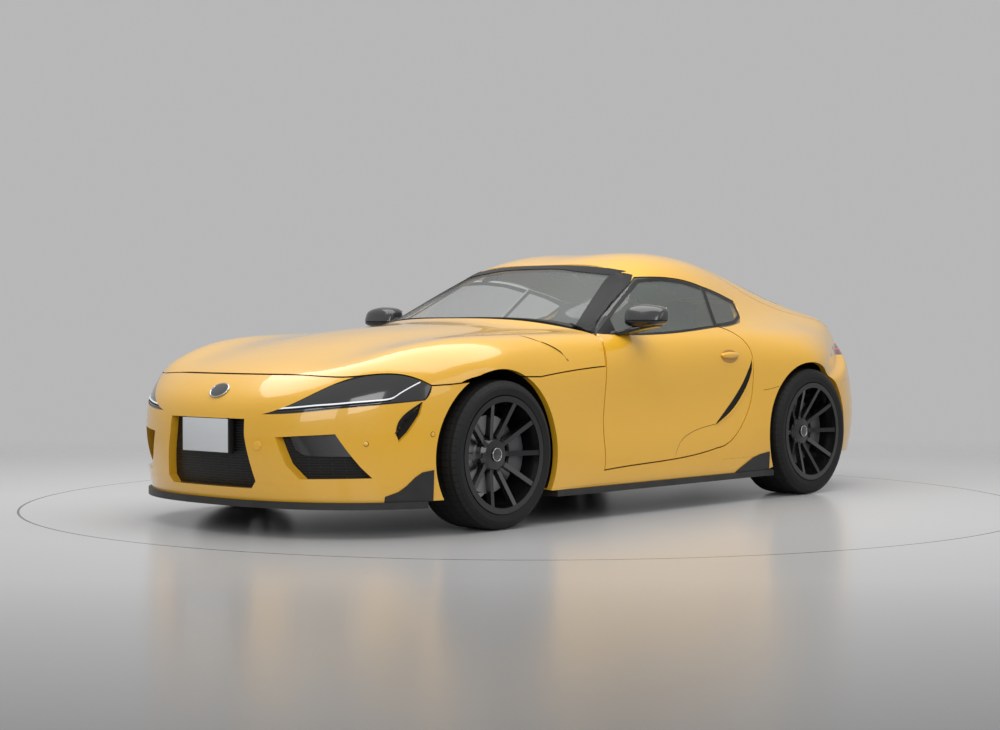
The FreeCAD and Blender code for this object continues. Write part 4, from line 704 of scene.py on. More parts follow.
class Path:
    """Line through points, smooth or straight between them."""

    def __init__(self, points: Iterable[Point | Vector], smooth: bool = True, closed: bool = False) -> None:
        """Keeps the points and their lengths along the line.

        Args:
            points: Points in metres.
            smooth: Whether the line curves through them.
            closed: Whether it comes back to its start.
        """
        self.points = [Vector(p) for p in points]
        if closed:
            self.points.append(self.points[0].copy())
        self.smooth = smooth
        self.closed = closed
        self.reach = [0.0]
        for a, b in zip(self.points, self.points[1:]):
            self.reach.append(self.reach[-1] + max((b - a).length, 1e-6))

    @classmethod
    def mm(cls, points: Iterable[Point], smooth: bool = True, closed: bool = False) -> "Path":
        """Line through points that are given in millimetres."""
        return cls(metres(points), smooth, closed)

    def slope(self, index: int) -> Vector:
        """Tangent at one of the points."""
        last = len(self.points) - 1
        before, after = max(index - 1, 0), min(index + 1, last)
        span = self.reach[after] - self.reach[before]
        if self.closed and index in (0, last):
            before, after = last - 1, 1
            span = self.reach[last] - self.reach[last - 1] + self.reach[1]
        return (self.points[after] - self.points[before]) / span

    def at(self, share: float) -> Vector:
        """Finds a point of the line.

        Args:
            share: Share of the length, from 0 to 1.

        Returns:
            The point.
        """
        target = min(max(share, 0.0), 1.0) * self.reach[-1]
        index = 0
        while index < len(self.points) - 2 and self.reach[index + 1] < target:
            index += 1
        span = self.reach[index + 1] - self.reach[index]
        t = (target - self.reach[index]) / span
        a, b = self.points[index], self.points[index + 1]
        if not self.smooth:
            return a.lerp(b, t)
        rise, fall = self.slope(index) * span, self.slope(index + 1) * span
        square, cube = t * t, t * t * t
        return (a * (2 * cube - 3 * square + 1) + rise * (cube - 2 * square + t)
                + b * (3 * square - 2 * cube) + fall * (cube - square))


class Skin:
    """Outer faces of some CAD nodes, for laying pieces on them.

    Attributes:
        REACH: Furthest that a point may be from the skin to be pressed straight on it.
        GRAZING: Faces that lean away more than this aren't hit straight on.
    """

    REACH = 0.09
    GRAZING = 0.12

    def __init__(self, *sources: str | Piece) -> None:
        """Gathers the faces of CAD nodes or finished pieces."""
        points: list[Vector] = []
        faces: list[tuple[int, ...]] = []
        for source in sources:
            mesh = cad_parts[source].data if isinstance(source, str) else source.data
            start = len(points)
            points += [v.co.copy() for v in mesh.vertices]
            faces += [tuple(start + i for i in p.vertices) for p in mesh.polygons]
        self.tree = BVHTree.FromPolygons(points, faces)

    def press(self, point: Vector, way: Vector, lift: float) -> Vector:
        """Lays a point on the skin.

        Args:
            point: Point near the skin.
            way: Direction that leads out of the car there.
            lift: How far above the skin it ends.

        Returns:
            The point on the skin.
        """
        hit, normal, _, _ = self.tree.ray_cast(point + way * self.REACH, -way, 2 * self.REACH)
        if hit is None or normal.dot(way) < self.GRAZING:
            hit, normal, _, _ = self.tree.find_nearest(point)
            normal = normal if abs(normal.dot(way)) > 0.5 else way
        if normal.dot(way) < 0:
            normal = -normal
        return hit + normal * lift


@dataclass(frozen=True)
class Strip:
    """A thin strip on the left side between two lines, and its mirror image on the right.

    Attributes:
        name: Piece name that ends in left.
        look: Its finish.
        body: Body that the left one rides on.
        nodes: CAD nodes that it lies on; none where its points already have their place.
        way: Direction out of the car.
        counts: Faces along and across.
        lift: Height over the skin in metres.
        sink: Depth under the skin in metres.
        edges: Points of its two long edges in millimetres.
        smooth: Whether the edges curve through their points.
    """

    name: str
    look: Look
    body: str
    nodes: tuple[str, ...]
    way: Point
    counts: tuple[int, int]
    lift: float
    sink: float
    edges: tuple[tuple[Point, ...], tuple[Point, ...]]
    smooth: bool = True


@dataclass
class Bench:
    """Modelling steps that every maker uses.

    Attributes:
        finishes: The finishes that it hands out.
        sharp: Edges sharper than this stay sharp, in degrees.
    """

    finishes: Finishes
    sharp: float = 40.0

    def clear(self) -> None:
        """Leaves nothing selected."""
        if bpy.context.object and bpy.context.object.mode != "OBJECT":
            bpy.ops.object.mode_set(mode="OBJECT")
        bpy.ops.object.select_all(action="DESELECT")

    def pick(self, piece: Piece) -> None:
        """Makes a piece the only selected one and the active one."""
        self.clear()
        piece.select_set(True)
        bpy.context.view_layer.objects.active = piece

    def give(self, piece: Piece, name: str, look: Look, body: str) -> Piece:
        """Names, smooths, dresses and attaches a piece.

        Args:
            piece: The finished object, its place in its mesh.
            name: Piece name.
            look: Its finish.
            body: CAD body that it rides on.

        Returns:
            The same object.
        """
        self.pick(piece)
        bpy.ops.object.shade_smooth_by_angle(angle=math.radians(self.sharp))
        piece.name = name
        piece.data.name = name
        piece.data.materials.clear()
        piece.data.materials.append(self.finishes.of(look))
        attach(piece, body)
        log.info("piece %s rides on %s", name, body)
        return piece

    def twin(self, piece: Piece, name: str, body: str, look: Look) -> Piece:
        """Mirrors a piece to the other side of the car."""
        copy = piece.copy()
        copy.data = piece.data.copy()
        bpy.context.scene.collection.objects.link(copy)
        for vertex in copy.data.vertices:
            vertex.co.y = -vertex.co.y
        copy.data.flip_normals()
        return self.give(copy, name, look, body)

    def both(self, piece: Piece, name: str, look: Look, body: str) -> list[Piece]:
        """Gives a left piece and its mirror image.

        Args:
            piece: The left object.
            name: Name that ends in left.
            look: Finish of both.
            body: Body of the left one, whose twin ends in right.

        Returns:
            The left and the right object.
        """
        left = self.give(piece, name, look, body)
        right = self.twin(left, name.replace("left", "right"), body.replace("left", "right"), look)
        return [left, right]

    def apply(self, piece: Piece, kind: str, **values: float | bool | str | int) -> None:
        """Adds one modifier and applies it."""
        self.pick(piece)
        modifier = piece.modifiers.new(kind.lower(), kind)
        for key, value in values.items():
            setattr(modifier, key, value)
        bpy.ops.object.modifier_apply(modifier=modifier.name)

    def ribbon(self, edges: tuple[Path, Path], skin: Skin | None, way: Point, counts: tuple[int, int],
               lift: float, sink: float) -> Piece:
        """Makes a thin solid strip between two lines, laid on a skin.

        Args:
            edges: The two long edges.
            skin: Skin that it lies on, or None where the lines already have their place.
            way: Direction out of the car.
            counts: Faces along and across.
            lift: Height over the skin.
            sink: Depth under the skin.

        Returns:
            The strip.
        """
        self.clear()
        bpy.ops.mesh.primitive_grid_add(x_subdivisions=counts[0], y_subdivisions=counts[1], size=1)
        strip = bpy.context.object
        out = Vector(way).normalized()
        for vertex in strip.data.vertices:
            u, v = vertex.co.x + 0.5, vertex.co.y + 0.5
            place = edges[0].at(u).lerp(edges[1].at(u), v)
            vertex.co = skin.press(place, out, lift) if skin else place
        if edges[0].closed:
            bpy.ops.object.mode_set(mode="EDIT")
            bpy.ops.mesh.select_all(action="SELECT")
            bpy.ops.mesh.remove_doubles(threshold=0.00002)
            bpy.ops.object.mode_set(mode="OBJECT")
        strip.data.update()
        facing = sum(face.normal.dot(out) * face.area for face in strip.data.polygons)
        if facing < 0:
            strip.data.flip_normals()
        self.apply(strip, "SOLIDIFY", thickness=lift + sink, offset=-1.0)
        return strip

    def block(self, centre: Point, size: Point, edge: float) -> Piece:
        """Makes a block with rounded edges.

        Args:
            centre: Middle of the block.
            size: Its three sizes.
            edge: Radius of its edges.

        Returns:
            The block.
        """
        self.clear()
        bpy.ops.mesh.primitive_cube_add(size=1, location=centre)
        block = bpy.context.object
        block.scale = size
        bpy.ops.object.transform_apply(location=True, rotation=True, scale=True)
        self.apply(block, "BEVEL", width=edge, segments=2)
        return block

    def loft(self, sections: list[list[Point]], edge: float = 0.0) -> Piece:
        """Extrudes a closed outline through further outlines.

        Args:
            sections: Outlines with equally many points each.
            edge: Radius of the sharp edges, or 0.

        Returns:
            The closed form.
        """
        self.clear()
        bpy.ops.mesh.primitive_circle_add(vertices=len(sections[0]), radius=1, fill_type="NGON")
        form = bpy.context.object
        for vertex, point in zip(form.data.vertices, sections[0]):
            vertex.co = point
        bpy.ops.object.mode_set(mode="EDIT")
        bpy.ops.mesh.select_all(action="SELECT")
        for before, after in zip(sections, sections[1:]):
            bpy.ops.mesh.extrude_region_move()
            bpy.ops.object.mode_set(mode="OBJECT")
            for vertex in form.data.vertices:
                if vertex.select:
                    gaps = [(Vector(point) - vertex.co).length for point in before]
                    vertex.co = after[gaps.index(min(gaps))]
            bpy.ops.object.mode_set(mode="EDIT")
        bpy.ops.mesh.select_all(action="SELECT")
        bpy.ops.mesh.normals_make_consistent(inside=False)
        bpy.ops.object.mode_set(mode="OBJECT")
        if edge:
            self.apply(form, "BEVEL", width=edge, segments=3, limit_method="ANGLE")
        return form

    def aimed(self, form: Piece, centre: Point, way: Point) -> Piece:
        """Turns a form's upright axis into a direction and moves it to its place."""
        turn = Vector(way).to_track_quat("Z", "Y").to_matrix().to_4x4()
        form.data.transform(Matrix.Translation(centre) @ turn)
        return form

    def round(self, centre: Point, way: Point, radius: float, depth: float, sides: int,
              edge: float) -> Piece:
        """Makes a round disc or bar about a direction.

        Args:
            centre: Middle of the disc.
            way: Its axis.
            radius: Its radius.
            depth: Its height along the axis.
            sides: Faces round it.
            edge: Radius of its rims.

        Returns:
            The disc.
        """
        self.clear()
        bpy.ops.mesh.primitive_cylinder_add(vertices=sides, radius=radius, depth=depth)
        disc = bpy.context.object
        self.apply(disc, "BEVEL", width=edge, segments=3, limit_method="ANGLE")
        return self.aimed(disc, centre, way)

    def ring(self, centre: Point, way: Point, radius: float, thickness: float, sides: int = 40) -> Piece:
        """Makes a ring of round section about a direction."""
        self.clear()
        bpy.ops.mesh.primitive_torus_add(
            major_radius=radius, minor_radius=thickness, major_segments=sides, minor_segments=10)
        return self.aimed(bpy.context.object, centre, way)

    def strips(self, plans: tuple[Strip, ...]) -> None:
        """Makes strips on both sides of the car."""
        for plan in plans:
            first, second = (Path.mm(points, plan.smooth) for points in plan.edges)
            skin = Skin(*plan.nodes) if plan.nodes else None
            piece = self.ribbon((first, second), skin, plan.way, plan.counts, plan.lift, plan.sink)
            self.both(piece, plan.name, plan.look, plan.body)

    def stretch(self, piece: Piece, axis: int, middle: float, factor: float) -> None:
        """Stretches a piece along one axis of the car.

        Args:
            piece: The piece.
            axis: 0 along the car, 1 across, 2 upwards.
            middle: Place on the axis that stays.
            factor: How much longer it gets.
        """
        for vertex in piece.data.vertices:
            vertex.co[axis] = middle + (vertex.co[axis] - middle) * factor

    def joined(self, *parts: Piece) -> Piece:
        """Joins separate forms of one finish into one piece."""
        self.clear()
        for part in parts:
            part.select_set(True)
        bpy.context.view_layer.objects.active = parts[0]
        bpy.ops.object.join()
        return bpy.context.object


@dataclass
class Nose:
    """Plate, badge place, sensors, towing eye cover, light strips, corner ducts and intake panels."""

    bench: Bench
    plate_centre: Point = (2.1890, 0.0, 0.4245)
    plate_size: Point = (0.003, 0.304, 0.145)
    holder_back: float = 0.016
    holder_size: Point = (0.028, 0.316, 0.155)
    badge_centre: Point = (2.125, 0.026, 0.612)
    badge_way: Point = (0.72, 0.0, 0.69)
    badge_radius: float = 0.040
    badge_stretch: float = 1.38
    lamp_way: Point = (0.62, 0.62, 0.48)
    shade_points: int = 7
    seal_width: float = 0.007
    sensor_radius: float = 0.0095
    sensors: tuple[tuple[Point, Point], ...] = (
        ((1.919, 0.724, 0.400), (0.72, 0.68, 0.1)), ((1.657, 0.860, 0.435), (0.25, 0.96, 0.05)))
    towing_radius: float = 0.020
    towing_eye: tuple[Point, Point] = ((2.156, 0.316, 0.387), (0.95, 0.3, 0.05))
    led_line: list[Point] = field(default_factory=lambda: metres([
        (2127, 382, 537), (2091, 476, 546), (2050, 553, 555), (2003, 622, 562), (1949, 683, 570),
        (1888, 737, 577), (1826, 779, 586), (1786, 797, 610), (1744, 813, 634), (1699, 827, 655)]))
    lamp_line: list[Point] = field(default_factory=lambda: metres([
        (2145, 324, 522), (2092, 455, 567), (2030, 535, 622), (1951, 612, 663), (1855, 707, 694),
        (1744, 793, 690), (1690, 829, 667), (1651, 850, 645), (1662, 850, 610), (1690, 846, 580),
        (1835, 776, 567), (1930, 707, 556), (2004, 625, 547), (2060, 545, 537), (2100, 464, 528)]))
    strips: tuple[Strip, ...] = (
        Strip("corner_duct_left", Look.DEEP_BLACK, "shell", (), (0.5, 0.86, 0), (24, 4), 0.001, 0.004, (
            ((1698, 838, 570), (1761, 815, 517), (1792, 799, 470), (1798, 793, 440), (1796, 794, 412)),
            ((1696, 838, 566), (1713, 831, 520), (1741, 820, 474), (1763, 809, 446), (1794, 794, 409)))),
        Strip("duct_leaf_left", Look.DEEP_BLACK, "shell", ("front_bumper",), (0.6, 0.8, 0.05), (40, 8),
              0.0026, 0.003, (
            ((1704, 842, 574), (1768, 817, 532), (1800, 802, 497), (1813, 796, 457), (1808, 799, 424)),
            ((1703, 842, 572), (1746, 828, 520), (1774, 816, 478), (1790, 808, 450), (1804, 800, 422)))),
        Strip("intake_panel_left", Look.LAMP_BLACK, "shell", (), (0.72, 0.68, 0.1), (24, 4), 0.001, 0.004, (
            ((2092, 446, 425), (2046, 538, 434), (1990, 628, 438)),
            ((2083, 466, 372), (2063, 507, 350), (1944, 676, 345)))))

    def plate(self) -> None:
        """Makes the blank number plate on its black holder."""
        x, y, z = self.plate_centre
        plate = self.bench.block((x, y, z), self.plate_size, 0.001)
        self.bench.give(plate, "number_plate", Look.PLATE, "shell")
        holder = self.bench.block((x - self.holder_back, y, z), self.holder_size, 0.003)
        self.bench.give(holder, "plate_holder", Look.SATIN_BLACK, "shell")

    def badge(self, skin: Skin) -> None:
        """Makes the plain oval badge place.

        Args:
            skin: Skin of the front bumper.
        """
        way = Vector(self.badge_way).normalized()
        centre = skin.press(Vector(self.badge_centre), way, 0.001)
        disc = self.bench.round(tuple(centre), tuple(way), self.badge_radius, 0.008, 40, 0.002)
        ring = self.bench.ring(tuple(centre + way * 0.003), tuple(way), self.badge_radius - 0.001, 0.0032)
        for piece, name, look in ((disc, "badge_place", Look.LAMP_BLACK), (ring, "badge_ring", Look.STEEL)):
            self.bench.stretch(piece, 1, centre.y, self.badge_stretch)
            self.bench.give(piece, name, look, "shell")

    def lamps(self) -> None:
        """Makes the light strips, their shades and the black seals round the lamps."""
        line = self.led_line
        low, high = Path(line), Path([(x - 0.0015, y, z + 0.0065) for x, y, z in line])
        start = line[:self.shade_points]
        shade_low, shade_high = Path([(x, y, z - 0.009) for x, y, z in start]), Path(start)
        corners = [Vector(p) for p in self.lamp_line]
        middle = sum(corners, Vector()) / len(corners)
        outer = Path(self.lamp_line, closed=True)
        inner = Path([tuple(p + (middle - p).normalized() * self.seal_width) for p in corners], closed=True)
        skin = Skin("headlamps")
        for name, look, edges, counts, lift in (
                ("light_strip_left", Look.LIGHT_STRIP, (low, high), (60, 2), 0.0018),
                ("lamp_shade_left", Look.DEEP_BLACK, (shade_low, shade_high), (50, 2), 0.0012),
                ("lamp_seal_left", Look.DEEP_BLACK, (outer, inner), (120, 1), 0.0016)):
            strip = self.bench.ribbon(edges, skin, self.lamp_way, counts, lift, 0.001)
            self.bench.both(strip, name, look, "shell")

    def small_parts(self, skin: Skin) -> None:
        """Makes the parking sensors and the towing eye cover.

        Args:
            skin: Skin of the front bumper.
        """
        for index, (place, way) in enumerate(self.sensors):
            out = Vector(way).normalized()
            centre = skin.press(Vector(place), out, 0.0)
            for hand, side in ((1, "left"), (-1, "right")):
                spot, axis = (centre.x, hand * centre.y, centre.z), (out.x, hand * out.y, out.z)
                ring = self.bench.ring(spot, axis, self.sensor_radius + 0.001, 0.0011, 24)
                self.bench.give(ring, f"sensor_ring_{index}_{side}", Look.DEEP_BLACK, "shell")
                cap = self.bench.round(spot, axis, self.sensor_radius, 0.004, 24, 0.001)
                self.bench.give(cap, f"sensor_{index}_{side}", Look.PAINT, "shell")
        place, way = self.towing_eye
        out = Vector(way).normalized()
        centre = skin.press(Vector(place), out, 0.001)
        cover = self.bench.round(tuple(centre), tuple(out), self.towing_radius, 0.009, 32, 0.0025)
        self.bench.give(cover, "towing_eye_cover", Look.PAINT, "shell")

    def build(self) -> None:
        """Makes the whole nose."""
        skin = Skin("front_bumper")
        self.plate()
        self.badge(skin)
        self.lamps()
        self.bench.strips(self.strips)
        self.small_parts(skin)


@dataclass
class Flanks:
    """Door slots, handles, bonnet slits, joint lines and the black bands round the glass."""

    bench: Bench
    cup_place: Point = (-0.520, 0.867, 0.745)
    cup_way: Point = (0.0, 0.99, 0.12)
    cup_radius: float = 0.034
    cup_stretch: float = 2.1
    handle_offset: Point = (0.0, 0.004, 0.006)
    handle_half: Point = (0.078, 0.016, 0.017)
    line_width: float = 0.0022
    header_out: tuple[Point, ...] = (
        (-104, 522, 1176), (-78, 480, 1185), (-46, 344, 1200), (-40, 136, 1214), (-40, 0, 1217))
    header_in: tuple[Point, ...] = (
        (-16, 492, 1158), (8, 441, 1164), (30, 329, 1176), (18, 187, 1193), (16, 0, 1196))
    strips: tuple[Strip, ...] = (
        Strip("door_slot_left", Look.DEEP_BLACK, "door_left", ("door_panel_left",), (0, 1, 0), (48, 2),
              0.0010, 0.002, (
            ((-704, 880, 729), (-692, 884, 664), (-641, 882, 580), (-562, 881, 501), (-488, 882, 452),
             (-384, 884, 405)),
            ((-702, 880, 722), (-668, 882, 672), (-612, 880, 598), (-534, 878, 523), (-466, 880, 470),
             (-381, 884, 409)))),
        Strip("door_slot_lip_left", Look.PAINT, "door_left", ("door_panel_left",), (0, 1, 0), (48, 3),
              0.0045, 0.002, (
            ((-712, 880, 729), (-701, 884, 662), (-650, 882, 575), (-571, 881, 495), (-492, 882, 445),
             (-374, 884, 399)),
            ((-704, 880, 729), (-692, 884, 664), (-641, 882, 580), (-562, 881, 501), (-488, 882, 452),
             (-384, 884, 405)))),
        Strip("screen_side_left", Look.PILLAR, "shell", ("windscreen", "screen_pillars", "roof"),
              (0.36, 0.45, 0.81), (72, 10), 0.0026, 0.003, (
            ((-108, 560, 1156), (-62, 586, 1129), (38, 617, 1072), (261, 675, 951), (452, 745, 871)),
            ((-46, 482, 1168), (30, 500, 1136), (111, 527, 1093), (344, 609, 962), (535, 690, 880)))),
        Strip("bonnet_slit_left", Look.DEEP_BLACK, "bonnet", ("bonnet",), (0.0, 0.75, 0.66), (32, 2),
              0.0008, 0.002, (
            ((994, 768, 854), (953, 818, 837), (886, 844, 816), (822, 863, 784), (781, 876, 740)),
            ((986, 770, 849), (935, 816, 826), (868, 842, 798), (808, 862, 766), (779, 876, 736)))),
        Strip("window_band_left", Look.PILLAR, "door_left", ("door_glass_left",), (0.0, 0.90, 0.43), (90, 2),
              0.0010, 0.001, (
            ((440, 766, 858), (170, 690, 1003), (-88, 610, 1139), (-105, 605, 1143), (-282, 603, 1147),
             (-460, 605, 1137), (-632, 600, 1107)),
            ((395, 766, 862), (160, 694, 990), (-95, 622, 1122), (-110, 617, 1126), (-282, 613, 1129),
             (-460, 615, 1119), (-618, 610, 1089))), False),
        Strip("belt_band_left", Look.PILLAR, "door_left", ("door_glass_left",), (0.0, 0.90, 0.43), (60, 2),
              0.0016, 0.001, (
            ((446, 790, 850), (152, 806, 849), (-179, 800, 861), (-514, 770, 888)),
            ((430, 790, 866), (152, 800, 868), (-179, 795, 879), (-522, 768, 905)))),
        Strip("quarter_band_left", Look.PILLAR, "shell", ("quarter_glass",), (0.0, 0.90, 0.43), (90, 2),
              0.0010, 0.001, (
            ((-646, 600, 1110), (-800, 590, 1078), (-955, 580, 1034), (-957, 585, 1028), (-898, 690, 960),
             (-770, 730, 914), (-660, 750, 901), (-530, 765, 895)),
            ((-640, 605, 1092), (-796, 600, 1058), (-925, 600, 1019), (-926, 605, 1014), (-882, 690, 973),
             (-765, 725, 932), (-655, 745, 919), (-545, 760, 912))), False),
        Strip("window_post_left", Look.PILLAR, "shell", ("quarter_glass",), (0.0, 0.90, 0.43), (20, 2),
              0.0010, 0.001, (
            ((-646, 600, 1108), (-532, 760, 898)), ((-672, 600, 1104), (-562, 760, 902)))))

    def line(self, name: str, node: str, body: str, places: tuple[Point, ...]) -> None:
        """Lays a thin dark joint line on the left skin, and its mirror image on the right.

        Args:
            name: Piece name that ends in left.
            node: CAD node that it lies on.
            body: Body that the left one rides on.
            places: Places along it in millimetres.
        """
        points = metres(places)
        edges = Path(points), Path([(x, y, z + self.line_width) for x, y, z in points])
        strip = self.bench.ribbon(edges, Skin(node), (0, 1, 0), (32, 1), 0.0004, 0.001)
        self.bench.both(strip, name, Look.DEEP_BLACK, body)

    def handle(self) -> None:
        """Makes the door handle over its cup, a flat disc of darker paint that is painted shade under the
        handle.
        """
        out = Vector(self.cup_way).normalized()
        centre = Skin("door_panel_left").press(Vector(self.cup_place), out, 0.0005)
        # Flat disc in darker paint: painted shade of the cup under the handle.
        cup = self.bench.round(tuple(centre), tuple(out), self.cup_radius, 0.004, 40, 0.0015)
        self.bench.stretch(cup, 0, centre.x, self.cup_stretch)
        self.bench.both(cup, "handle_cup_left", Look.PAINTED_SHADE, "door_left")
        self.bench.clear()
        bpy.ops.mesh.primitive_uv_sphere_add(segments=32, ring_count=16, radius=1)
        bar = bpy.context.object
        middle, half = centre + Vector(self.handle_offset), Vector(self.handle_half)
        for vertex in bar.data.vertices:
            vertex.co = middle + vertex.co * half
        self.bench.both(bar, "door_handle_left", Look.PAINT, "door_left")

    def header(self) -> None:
        """Makes the black band over the windscreen, from pillar to pillar."""
        edges = []
        for half in (metres(self.header_out), metres(self.header_in)):
            edges.append(Path(half + [(x, -y, z) for x, y, z in reversed(half[:-1])]))
        skin = Skin("windscreen", "screen_pillars", "roof")
        header = self.bench.ribbon(tuple(edges), skin, (0.45, 0.0, 0.89), (96, 8), 0.0030, 0.003)
        self.bench.give(header, "screen_header", Look.PILLAR, "shell")

    def build(self) -> None:
        """Makes both flanks."""
        self.bench.strips(self.strips)
        self.header()
        self.handle()
        self.line("door_trim_line_left", "door_panel_left", "door_left", (
            (-380, 885, 405), (-225, 886, 384), (-140, 888, 362), (-80, 891, 335), (-35, 895, 290),
            (-20, 897, 256)))
        self.line("quarter_line_left", "quarter_left", "shell",
                  ((-788, 896, 566), (-860, 904, 574), (-915, 911, 584)))


@dataclass
class DoorMirrors:
    """Door mirrors: cap, lower housing, core, arm, glass and sail."""

    bench: Bench
    centre: Point = (0.214, 0.901, 0.948)
    half: Point = (0.066, 0.110, 0.057)
    squareness: float = 0.55
    taper: float = 0.22
    lean: float = 0.016
    flat_outside: float = 0.24
    flat_inside: float = 0.05
    cap_drop: float = 0.020
    cap_gap: float = 0.004
    housing_drop: float = 0.056
    core_scale: float = 0.955
    arm_sections: tuple[tuple[Point, ...], ...] = (
        ((345, 774, 846), (345, 774, 872), (262, 774, 876), (262, 774, 846)),
        ((318, 812, 856), (318, 812, 880), (212, 812, 884), (212, 812, 858)),
        ((284, 850, 870), (284, 850, 892), (180, 850, 896), (180, 850, 872)),
        ((262, 905, 884), (262, 905, 904), (172, 905, 904), (172, 905, 884)),
        ((250, 970, 896), (250, 970, 908), (178, 970, 908), (178, 970, 896)))
    sail_sections: tuple[tuple[Point, ...], ...] = (
        ((455, 762, 858), (300, 752, 872), (290, 700, 948)),
        ((455, 774, 858), (300, 780, 868), (290, 726, 948)))

    def bulb(self, scale: float) -> Piece:
        """Makes the rounded, tapered form that cap and housing are cut from.

        Args:
            scale: Size against the full form.

        Returns:
            The closed form.
        """
        self.bench.clear()
        bpy.ops.mesh.primitive_uv_sphere_add(segments=48, ring_count=24, radius=1)
        bulb = bpy.context.object
        for vertex in bulb.data.vertices:
            x, y, z = (math.copysign(abs(v) ** self.squareness, v) for v in vertex.co)
            taper = 1.0 - self.taper * max(y, 0) ** 2
            slope = -self.lean * z if x > 0 else 0.0
            flat = 1.0 - self.flat_outside * max(y, 0) - self.flat_inside * max(-y, 0)
            vertex.co = (self.centre[0] + scale * self.half[0] * x * taper + slope,
                         self.centre[1] + scale * self.half[1] * y,
                         self.centre[2] + scale * self.half[2] * z * flat)
        return bulb

    def sliced(self, form: Piece, height: float, keep_top: bool) -> Piece:
        """Cuts a form level and closes the cut.

        Args:
            form: Closed form.
            height: Height of the cut.
            keep_top: Whether the upper half stays.

        Returns:
            The half that stays.
        """
        self.bench.pick(form)
        bpy.ops.object.mode_set(mode="EDIT")
        bpy.ops.mesh.select_all(action="SELECT")
        bpy.ops.mesh.bisect(plane_co=(0, 0, height), plane_no=(0, 0, 1), use_fill=True, clear_inner=keep_top,
                            clear_outer=not keep_top)
        bpy.ops.object.mode_set(mode="OBJECT")
        return form

    def build(self) -> None:
        """Makes both mirrors."""
        x, y, z = self.centre
        split = z - self.cap_drop
        cap = self.sliced(self.bulb(1.0), split, True)
        caps = self.bench.both(cap, "mirror_cap_left", Look.MIRROR_CAP, "door_left")
        for piece, side in zip(caps, ("left", "right")):
            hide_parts(f"mirror_{side}")
        low = self.sliced(self.bulb(1.0), split - self.cap_gap, False)
        low = self.sliced(low, z - self.housing_drop, True)
        self.bench.both(low, "mirror_housing_left", Look.GLOSS_BLACK, "door_left")
        self.bench.both(self.bulb(self.core_scale), "mirror_core_left", Look.DEEP_BLACK, "door_left")
        arm = self.bench.loft([metres(ring) for ring in self.arm_sections], 0.006)
        self.bench.both(arm, "mirror_arm_left", Look.GLOSS_BLACK, "door_left")
        glass = self.bench.block((x - 0.0630, y - 0.006, z + 0.002), (0.004, 0.150, 0.076), 0.0018)
        self.bench.both(glass, "mirror_glass_left", Look.MIRROR, "door_left")
        sail = self.bench.loft([metres(ring) for ring in self.sail_sections], 0.002)
        self.bench.both(sail, "mirror_sail_left", Look.SATIN_BLACK, "door_left")


@dataclass
class Wheels:
    """Wheel nuts, plain centre caps with their rings, and brake callipers."""

    bench: Bench
    front_axle: float = 1.265
    rear_axle: float = -1.205
    front_height: float = 0.330
    rear_height: float = 0.337
    half_track: float = 0.800
    cap_radius: float = 0.030
    nut_circle: float = 0.056
    nut_radius: float = 0.0105
    nut_count: int = 5
    nut_start: float = 126
    face: float = 0.067
    calliper_section: tuple[Pair, ...] = (
        (0.112, 0.838), (0.112, 0.850), (0.194, 0.856), (0.206, 0.846), (0.206, 0.838))
    calliper_turns: tuple[float, ...] = (148, 160, 172, 184, 196, 208)

    def hub(self, end: str, side: str) -> tuple[int, float, float]:
        """Side of the car, place along it and height of a wheel's centre.

        Args:
            end: front or rear.
            side: left or right.

        Returns:
            1 on the left or -1 on the right, then the place and the height in metres.
        """
        hand = 1 if side == "left" else -1
        if end == "front":
            return hand, self.front_axle, self.front_height
        return hand, self.rear_axle, self.rear_height

    def corner(self, end: str, side: str) -> None:
        """Makes the fittings of one wheel.

        Args:
            end: front or rear.
            side: left or right.
        """
        hand, axle, height = self.hub(end, side)
        body, way = f"wheel_{end}_{side}", (0, hand, 0)
        y = hand * (self.half_track + self.face)
        cap = self.bench.round((axle, y + hand * 0.004, height), way, self.cap_radius, 0.012, 40, 0.003)
        self.bench.give(cap, f"centre_cap_{end}_{side}", Look.LAMP_BLACK, body)
        ring = self.bench.ring((axle, y + hand * 0.010, height), way, self.cap_radius - 0.0015, 0.0022)
        self.bench.give(ring, f"cap_ring_{end}_{side}", Look.STEEL, body)
        nuts = []
        for index in range(self.nut_count):
            turn = math.radians(self.nut_start + 360 / self.nut_count * index)
            spot = (axle + self.nut_circle * math.cos(turn), y - hand * 0.011,
                    height + self.nut_circle * math.sin(turn))
            nuts.append(self.bench.round(spot, way, self.nut_radius, 0.020, 6, 0.0015))
        self.bench.give(self.bench.joined(*nuts), f"wheel_nuts_{end}_{side}", Look.CAST, body)

    def calliper(self, end: str, side: str) -> None:
        """Makes the calliper over the disc, on the part that doesn't turn.

        Args:
            end: front or rear.
            side: left or right.
        """
        hand, axle, height = self.hub(end, side)
        body = f"knuckle_{side}" if end == "front" else "shell"
        sections = []
        for turn in map(math.radians, self.calliper_turns):
            sections.append([
                (axle + radius * math.cos(turn), hand * depth, height + radius * math.sin(turn))
                for radius, depth in self.calliper_section])
        form = self.bench.loft(sections, 0.003)
        self.bench.give(form, f"calliper_{end}_{side}", Look.CALLIPER, body)

    def build(self) -> None:
        """Makes the fittings of all four wheels."""
        for end in ("front", "rear"):
            for side in ("left", "right"):
                self.corner(end, side)
                self.calliper(end, side)


